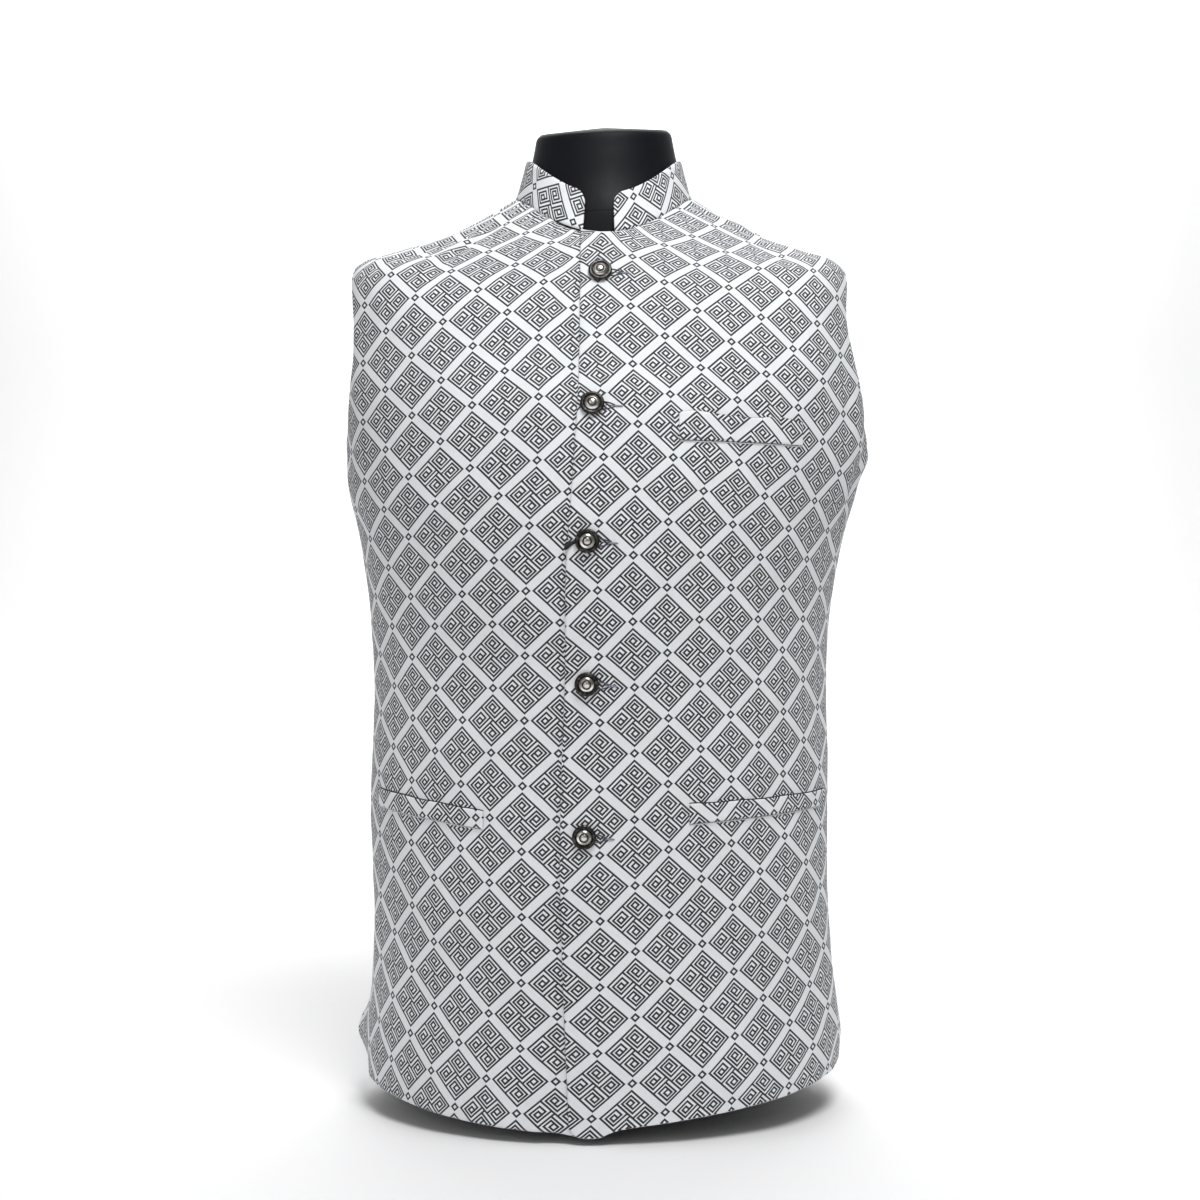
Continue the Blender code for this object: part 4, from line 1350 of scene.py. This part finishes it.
class MESH_OT_jacket_collar(bpy.types.Operator):
    """Add the stand collar"""

    bl_idname = "mesh.jacket_collar"
    bl_label = "Add collar"

    def execute(self, context):
        cloth = context.scene.jacket_cloth
        materials = cloth_materials(cloth)
        start = angle_at_x(np.array([NECK_LEVEL]), np.array([COLLAR_RIGHT_X]))[0]
        end = angle_at_x(np.array([NECK_LEVEL]), np.array([COLLAR_LEFT_X]))[0] + 2 * math.pi
        fine = np.linspace(start, end, 1200)
        length = run_length(surface(np.full(len(fine), NECK_LEVEL), fine))
        rim = np.array(COLLAR_RIM)
        middle = np.linspace(rim[-1], length[-1] - rim[-1], 170)[1:-1]
        along = np.concatenate([rim, middle, (length[-1] - rim)[::-1]])
        angles = np.interp(along, length, fine)
        base = surface(np.full(len(angles), NECK_LEVEL), angles)
        flat = base - (section("shift", NECK_LEVEL), 0.0, 0.0)
        flat[:, 2] = 0
        out = flat / np.linalg.norm(flat, axis=1, keepdims=True)
        at_back = np.clip(np.sin(angles), 0, 1)
        height = COLLAR_HEIGHT + (COLLAR_HEIGHT_BACK - COLLAR_HEIGHT) * at_back
        lean = COLLAR_LEAN + (COLLAR_LEAN_BACK - COLLAR_LEAN) * at_back
        from_end = np.clip(np.minimum(along, length[-1] - along), 0, COLLAR_CORNER)
        cut = COLLAR_CORNER - np.sqrt(COLLAR_CORNER**2 - (COLLAR_CORNER - from_end) ** 2)
        rows = np.array(RIM)
        shares = np.concatenate([rows / 32, np.linspace(0.13, 0.87, 10), (1 - rows / 32)[::-1]])
        rise = (height - cut)[None, :] * shares[:, None]
        inward = lean[None, :] * rise / height[None, :]
        wave = COLLAR_BULGE * np.sin(along / COLLAR_BULGE_LENGTH)
        bulge = np.sin(math.pi * shares)[:, None] * wave[None, :]
        grid = base[None] - out[None] * (inward - bulge)[..., None]
        grid[..., 2] = base[None, :, 2] - COLLAR_SINK + rise * (1 + COLLAR_SINK / COLLAR_HEIGHT)
        outer, inner = shell(grid, np.repeat(out[None], len(shares), axis=0), COLLAR_WALL, 0.2)
        across = (along - length[-1] / 2)[None, :] / HALF_ACROSS + 0 * rise
        up = rise / HALF_UP
        lays = []
        for row in COLLAR_PRINT:
            lay = dict(zip(COLLAR_PRINT_COLUMNS, row))
            lays.append(turned_print(across, up, lay["turn"], (lay["across"], lay["up"])))
        blend = (along / length[-1] - COLLAR_BLEND_START) / COLLAR_BLEND_WIDTH
        share = ease_in(blend)[None, :, None]
        uv = lays[0] * (1 - share) + lays[1] * share
        piece = wall_object("collar_cloth", outer, inner, uv, materials)
        keep(piece, "cloth", "collar")
        return {"FINISHED"}


class MESH_OT_jacket_welts(bpy.types.Operator):
    """Add the three pocket welts, a dark tube of painted shade along the mouth above the lower two, and
    the light fold below each, whose unprinted white is a painted highlight
    """

    bl_idname = "mesh.jacket_welts"
    bl_label = "Add pocket welts"

    def execute(self, context):
        cloth = context.scene.jacket_cloth
        materials = cloth_materials(cloth)
        # Material of the dark tube of painted shade along each pocket's mouth.
        dark = material_named("pocket_mouth", thread_material, MOUTH_SHADE_COLOUR)
        # Material of the fold below each welt: the cloth's ground colour without print, as a painted
        # highlight.
        light = material_named("welt_edge", thread_material, cloth.ground_colour)
        for row in WELTS:
            welt = dict(zip(WELT_COLUMNS, row))
            long = welt["outer_x"] - welt["inner_x"]
            rim = np.array(WELT_RIM) / long
            along = np.concatenate([rim, np.linspace(0.03, 0.97, 44), (1 - rim)[::-1]])
            edge = np.array(WELT_RIM) / WELT_RIM_HEIGHT
            up = np.concatenate([edge, np.linspace(0.2, 0.8, 6), (1 - edge)[::-1]])
            base = welt["inner_base"] + (welt["outer_base"] - welt["inner_base"]) * along
            top = welt["inner_top"] + (welt["outer_top"] - welt["inner_top"]) * along
            top = top + welt["bow"] * np.sin(along * 3 * math.pi)
            top = top + 0.25 * np.sin(along * 19 + welt["inner_x"])
            x = welt["side"] * (welt["inner_x"] + long * along)
            grid_x = np.repeat(x[None, :], len(up), axis=0)
            grid_z = base[None, :] + (top - base)[None, :] * up[:, None]
            level, angle, points, normals = on_front(grid_x, grid_z)
            lifted = points + normals * (WELT_GAP + WELT_WALL)
            outer, inner = shell(lifted, normals, WELT_WALL, 0.1)
            uv = front_print(level, angle, welt["side"])
            middle = uv[len(up) // 2, len(along) // 2]
            start = (middle[0] + welt["print_across"], middle[1] + welt["print_up"])
            across, rise = np.moveaxis(uv - middle, -1, 0)
            uv = turned_print(across, rise, welt["print_turn"], start)
            piece = wall_object(welt["name"] + "_cloth", outer, inner, uv, materials)
            seam_x = x[::3]
            paths = []
            # Two trims per welt: slot 0, a dark tube above the top, is painted shade in the pocket's
            # mouth; slot 1, a plain roll below the base, is a fold left white as a painted highlight.
            for slot, (height, radius) in enumerate(
                ((top[::3] + MOUTH_SHADE_ABOVE, welt["mouth"]), (base[::3] - FOLD_HIGHLIGHT_BELOW, FOLD_HIGHLIGHT_RADIUS))
            ):
                paths.append((np.stack([seam_x, height, np.full(len(seam_x), radius)], axis=1), slot))
            trim = threads_object(welt["name"] + "_mouth_shade_and_fold_highlight", paths, (dark, light))
            keep(trim, "cloth")
            keep(piece, "cloth", welt["name"])
        return {"FINISHED"}


class MESH_OT_jacket_buttons(bpy.types.Operator):
    """Add the five domed buttons and their buttonholes"""

    bl_idname = "mesh.jacket_buttons"
    bl_label = "Add buttons"

    def execute(self, context):
        build_groups()
        settings = context.scene.jacket_buttons
        metal = material_named("button_metal", button_material, settings)
        thread = material_named("buttonhole_thread", thread_material, settings.thread_colour)
        bar = material_named("buttonhole_bar", thread_material, settings.bar_colour)
        black = material_named("black_thread", thread_material, LOOSE_COLOUR)
        turn = np.linspace(0, 2 * math.pi, BUTTON_SIDES, endpoint=False)
        keys = np.arange(len(BUTTON_PROFILE))
        at = np.linspace(0, len(BUTTON_PROFILE) - 1, 70)[1:-1]
        share = smooth(keys, column(BUTTON_PROFILE, BUTTON_PROFILE_COLUMNS, "radius"), at)
        height = smooth(keys, column(BUTTON_PROFILE, BUTTON_PROFILE_COLUMNS, "height"), at)
        for number, (x, z) in enumerate(BUTTONS, start=1):
            _, _, point, normal = on_front(np.array(x), np.array(z))
            right = np.cross(np.array([0.0, 0.0, 1.0]), normal)
            right = right / np.linalg.norm(right)
            up = np.cross(normal, right)
            circle = np.cos(turn)[:, None] * right + np.sin(turn)[:, None] * up
            radius = share * settings.radius / MM
            foot = point + normal * BUTTON_STANDOFF
            rings = foot + radius[:, None, None] * circle[None] + height[:, None, None] * normal
            turned = turn / (2 * math.pi) + BUTTON_REFLECTION_TURNS[number - 1]
            uv = np.stack(np.meshgrid(turned, share, indexing="xy"), axis=-1).reshape(-1, 2)
            uv = np.concatenate([uv, [(0.5, 0.0)], [(0.5, 0.0)]])
            top = foot + normal * BUTTON_PROFILE[-1][1]
            piece = ringed_object("button_%d_dome" % number, rings, foot, top, (metal,), uv)
            keep(piece, "button", "button_%d" % number)
            keep(self.buttonhole(number, x, z, (thread, bar)), "cloth")
            if number == LOOSE_THREAD_BUTTON:
                across = x + column(LOOSE_THREAD, LOOSE_COLUMNS, "across")
                up = z + column(LOOSE_THREAD, LOOSE_COLUMNS, "up")
                path = np.stack([across, up, column(LOOSE_THREAD, LOOSE_COLUMNS, "radius")], axis=1)
                keep(threads_object("loose_thread", [(path, 0)], (black,)), "cloth")
        return {"FINISHED"}

    def buttonhole(self, number, x, z, materials):
        """A loop of thread that opens round the button's shank, a thin dark thread along its middle as
        painted shade in the slit, and a bar at the far end.
        """
        reach = column(LOOP, LOOP_COLUMNS, "reach")
        half = column(LOOP, LOOP_COLUMNS, "half")
        drop = z + BUTTONHOLE_DROP - 0.03 * reach
        size = np.full(len(reach), LOOP_RADIUS)
        paths = [
            (np.stack([x + reach, drop + half, size], axis=1), 0),
            (np.stack([x + reach, drop - half, size], axis=1), 0),
            # A thin dark thread along the loop's middle: painted shade in the slit.
            (np.stack([x + reach, drop + 0.15, size * 0.55], axis=1), 0),
        ]
        along = np.linspace(BAR_START, BAR_END, 6)
        share = (along - BAR_START) / (BAR_END - BAR_START)
        taper = BAR_RADIUS * np.sqrt(np.clip(1 - (share - 0.3) ** 2, 0.1, 1))
        paths.append((np.stack([x + along, z + BUTTONHOLE_DROP - 0.045 * along, taper], axis=1), 1))
        return threads_object("buttonhole_%d" % number, paths, materials)


class MESH_OT_jacket_form(bpy.types.Operator):
    """Add the smooth dress form"""

    bl_idname = "mesh.jacket_form"
    bl_label = "Add dress form"

    def execute(self, context):
        build_groups()
        settings = context.scene.jacket_form
        turn = np.linspace(0, 2 * math.pi, FORM_SIDES, endpoint=False)
        along = np.sin(turn)
        at_front = along < 0
        levels = np.concatenate([np.linspace(*run) for run in FORM_LEVELS])
        level_grid = np.repeat(levels[:, None], FORM_SIDES, axis=1)
        turn_grid = np.repeat(turn[None, :], len(levels), axis=0)
        ease_levels = column(EASE, EASE_COLUMNS, "level")
        inset = smooth(ease_levels, column(EASE, EASE_COLUMNS, "inset"), level_grid)
        inset = inset + FRONT_EASE * np.exp(-(((turn_grid - 1.5 * math.pi) / FRONT_EASE_SPREAD) ** 2))
        normals = outward(level_grid, turn_grid, body_surface)
        rings = body_surface(level_grid, turn_grid) - normals * inset[..., None]
        reach = np.abs(rings[..., 0])
        held = -ARM_PLATE_SOFT * np.logaddexp(-reach / ARM_PLATE_SOFT, -ARM_PLATE_X / ARM_PLATE_SOFT)
        rings[..., 0] = np.sign(rings[..., 0]) * np.clip(held, 0, None)
        foot_depth = np.where(at_front, FOOT_FRONT, FOOT_BACK)
        foot = np.stack([FOOT_HALF_WIDTH * np.cos(turn), foot_depth * along, 0 * turn], axis=-1)
        neck = []
        for row in NECK:
            size = dict(zip(NECK_COLUMNS, row))
            end_z = np.where(at_front, size["front_z"], size["back_z"])
            depth = np.where(at_front, size["front"], size["back"])
            x = size["half_width"] * np.cos(turn)
            z = size["side_z"] + (end_z - size["side_z"]) * np.abs(along)
            tilt = NECK_TILT * x * ease_in((z - NECK_TILT_START) / 60)
            neck.append(np.stack([NECK_MIDDLE_X + x, depth * along, z + tilt], axis=-1))
        rings = np.concatenate([foot[None], rings, np.array(neck)])
        keys = np.arange(len(rings), dtype=float)
        at = np.concatenate([[0, 0.02, 0.06], np.linspace(0.15, len(rings) - 1, 240)])
        index = np.clip(np.searchsorted(keys, at, side="right") - 1, 0, len(keys) - 2)
        share = (at - index)[:, None, None]
        tangent = np.gradient(rings, axis=0)
        tangent[0] = rings[1] - rings[0]
        fine = hermite(share, rings[index], tangent[index], rings[index + 1], tangent[index + 1])
        fine[..., 2] = np.clip(fine[..., 2], 0, None)
        material = material_named("form_black", form_material, settings)
        top = (NECK_MIDDLE_X, 0.0, NECK_TOP_Z + NECK_CAP)
        piece = ringed_object("dress_form_shell", fine, (0.0, 0.0, 0.0), top, (material,))
        keep(piece, "form", "dress_form")
        return {"FINISHED"}


class SCENE_OT_jacket_stage(bpy.types.Operator):
    """Add the floor, backdrop, lights and camera"""

    bl_idname = "scene.jacket_stage"
    bl_label = "Add stage"

    def execute(self, context):
        settings = context.scene.jacket_stage
        scene = context.scene
        scene.view_settings.view_transform = "Standard"
        scene.view_settings.look = "None"
        profile = [(FLOOR_FRONT, 0.0), (FLOOR_BACK, 0.0)]
        for step in range(1, 17):
            bend = step / 16 * math.pi / 2
            profile.append((FLOOR_BACK + WALL_BEND * math.sin(bend), WALL_BEND * (1 - math.cos(bend))))
        profile.append((FLOOR_BACK + WALL_BEND, WALL_TOP))
        points = []
        faces = []
        for place, (y, z) in enumerate(profile):
            points += [(side * WALL_HALF_WIDTH / MM, y / MM, z / MM) for side in (-1, 1)]
            if place:
                faces.append((2 * place - 2, 2 * place - 1, 2 * place + 1, 2 * place))
        material, tree, shader = start_material("stage_paper")
        where = tree.node("ShaderNodeTexCoord").outputs["Object"]
        build_groups()
        tone = tree.group("Uneven patches", Place=where, Scale=0.8, Low=0.995, High=1.0)["Value"]
        colour = tuple(settings.floor_colour)
        toned = tree.node("ShaderNodeVectorMath", {"operation": "SCALE"}, Vector=colour)
        tree.feed(toned.inputs["Scale"], tone)
        tree.feed(shader.inputs["Base Color"], toned.outputs[0])
        shader.inputs["Roughness"].default_value = 0.9
        shader.inputs["Specular IOR Level"].default_value = 0.1
        floor = new_mesh_object("floor", points, faces, materials=(material,), centred=False)
        for row in LIGHTS:
            self.light(scene, **dict(zip(LIGHT_COLUMNS, row)))
        world = bpy.data.worlds.new("studio")
        world.use_nodes = True
        background = world.node_tree.nodes["Background"]
        background.inputs["Color"].default_value = (1.0, 1.0, 1.0, 1.0)
        background.inputs["Strength"].default_value = WORLD_STRENGTH
        scene.world = world
        camera = bpy.data.cameras.new("camera")
        camera.lens = settings.lens
        camera.sensor_width = 36.0
        camera.sensor_fit = "HORIZONTAL"
        camera.clip_end = 50.0
        holder = bpy.data.objects.new("camera", camera)
        scene.collection.objects.link(holder)
        holder.location = (CAMERA_X, -settings.camera_distance, settings.camera_height)
        holder.rotation_euler = (math.pi / 2, 0.0, 0.0)
        scene.camera = holder
        return {"FINISHED"}

    def light(self, scene, name, place, aim, size, power):
        lamp = bpy.data.lights.new(name, "AREA")
        lamp.shape = "DISK"
        lamp.size = size
        lamp.energy = power
        holder = bpy.data.objects.new(name, lamp)
        scene.collection.objects.link(holder)
        holder.location = place
        holder.rotation_euler = (Vector(aim) - Vector(place)).to_track_quat("-Z", "Y").to_euler()


class VIEW3D_PT_jacket(bpy.types.Panel):
    bl_label = "Jacket"
    bl_idname = "VIEW3D_PT_jacket"
    bl_space_type = "VIEW_3D"
    bl_region_type = "UI"
    bl_category = "Jacket"

    def draw(self, context):
        layout = self.layout
        for settings in (
            context.scene.jacket_cloth, context.scene.jacket_buttons,
            context.scene.jacket_form, context.scene.jacket_stage,
        ):
            box = layout.box()
            for name in settings.__annotations__:
                box.prop(settings, name)
        for operator in STEPS:
            layout.operator(operator.bl_idname)


SETTINGS = (
    ("jacket_cloth", JacketCloth),
    ("jacket_buttons", JacketButtons),
    ("jacket_form", JacketForm),
    ("jacket_stage", JacketStage),
)
STEPS = (
    SCENE_OT_jacket_stage,
    MESH_OT_jacket_form,
    MESH_OT_jacket_fronts,
    MESH_OT_jacket_back,
    MESH_OT_jacket_collar,
    MESH_OT_jacket_welts,
    MESH_OT_jacket_buttons,
)


def register():
    for name, settings in SETTINGS:
        bpy.utils.register_class(settings)
        setattr(bpy.types.Scene, name, bpy.props.PointerProperty(type=settings))
    for step in STEPS:
        bpy.utils.register_class(step)
    bpy.utils.register_class(VIEW3D_PT_jacket)


def unregister():
    bpy.utils.unregister_class(VIEW3D_PT_jacket)
    for step in reversed(STEPS):
        bpy.utils.unregister_class(step)
    for name, settings in reversed(SETTINGS):
        delattr(bpy.types.Scene, name)
        bpy.utils.unregister_class(settings)


def main():
    register()
    bpy.ops.scene.jacket_stage()
    bpy.ops.mesh.jacket_form()
    bpy.ops.mesh.jacket_fronts()
    bpy.ops.mesh.jacket_back()
    bpy.ops.mesh.jacket_collar()
    bpy.ops.mesh.jacket_welts()
    bpy.ops.mesh.jacket_buttons()


if __name__ == "__main__":
    main()
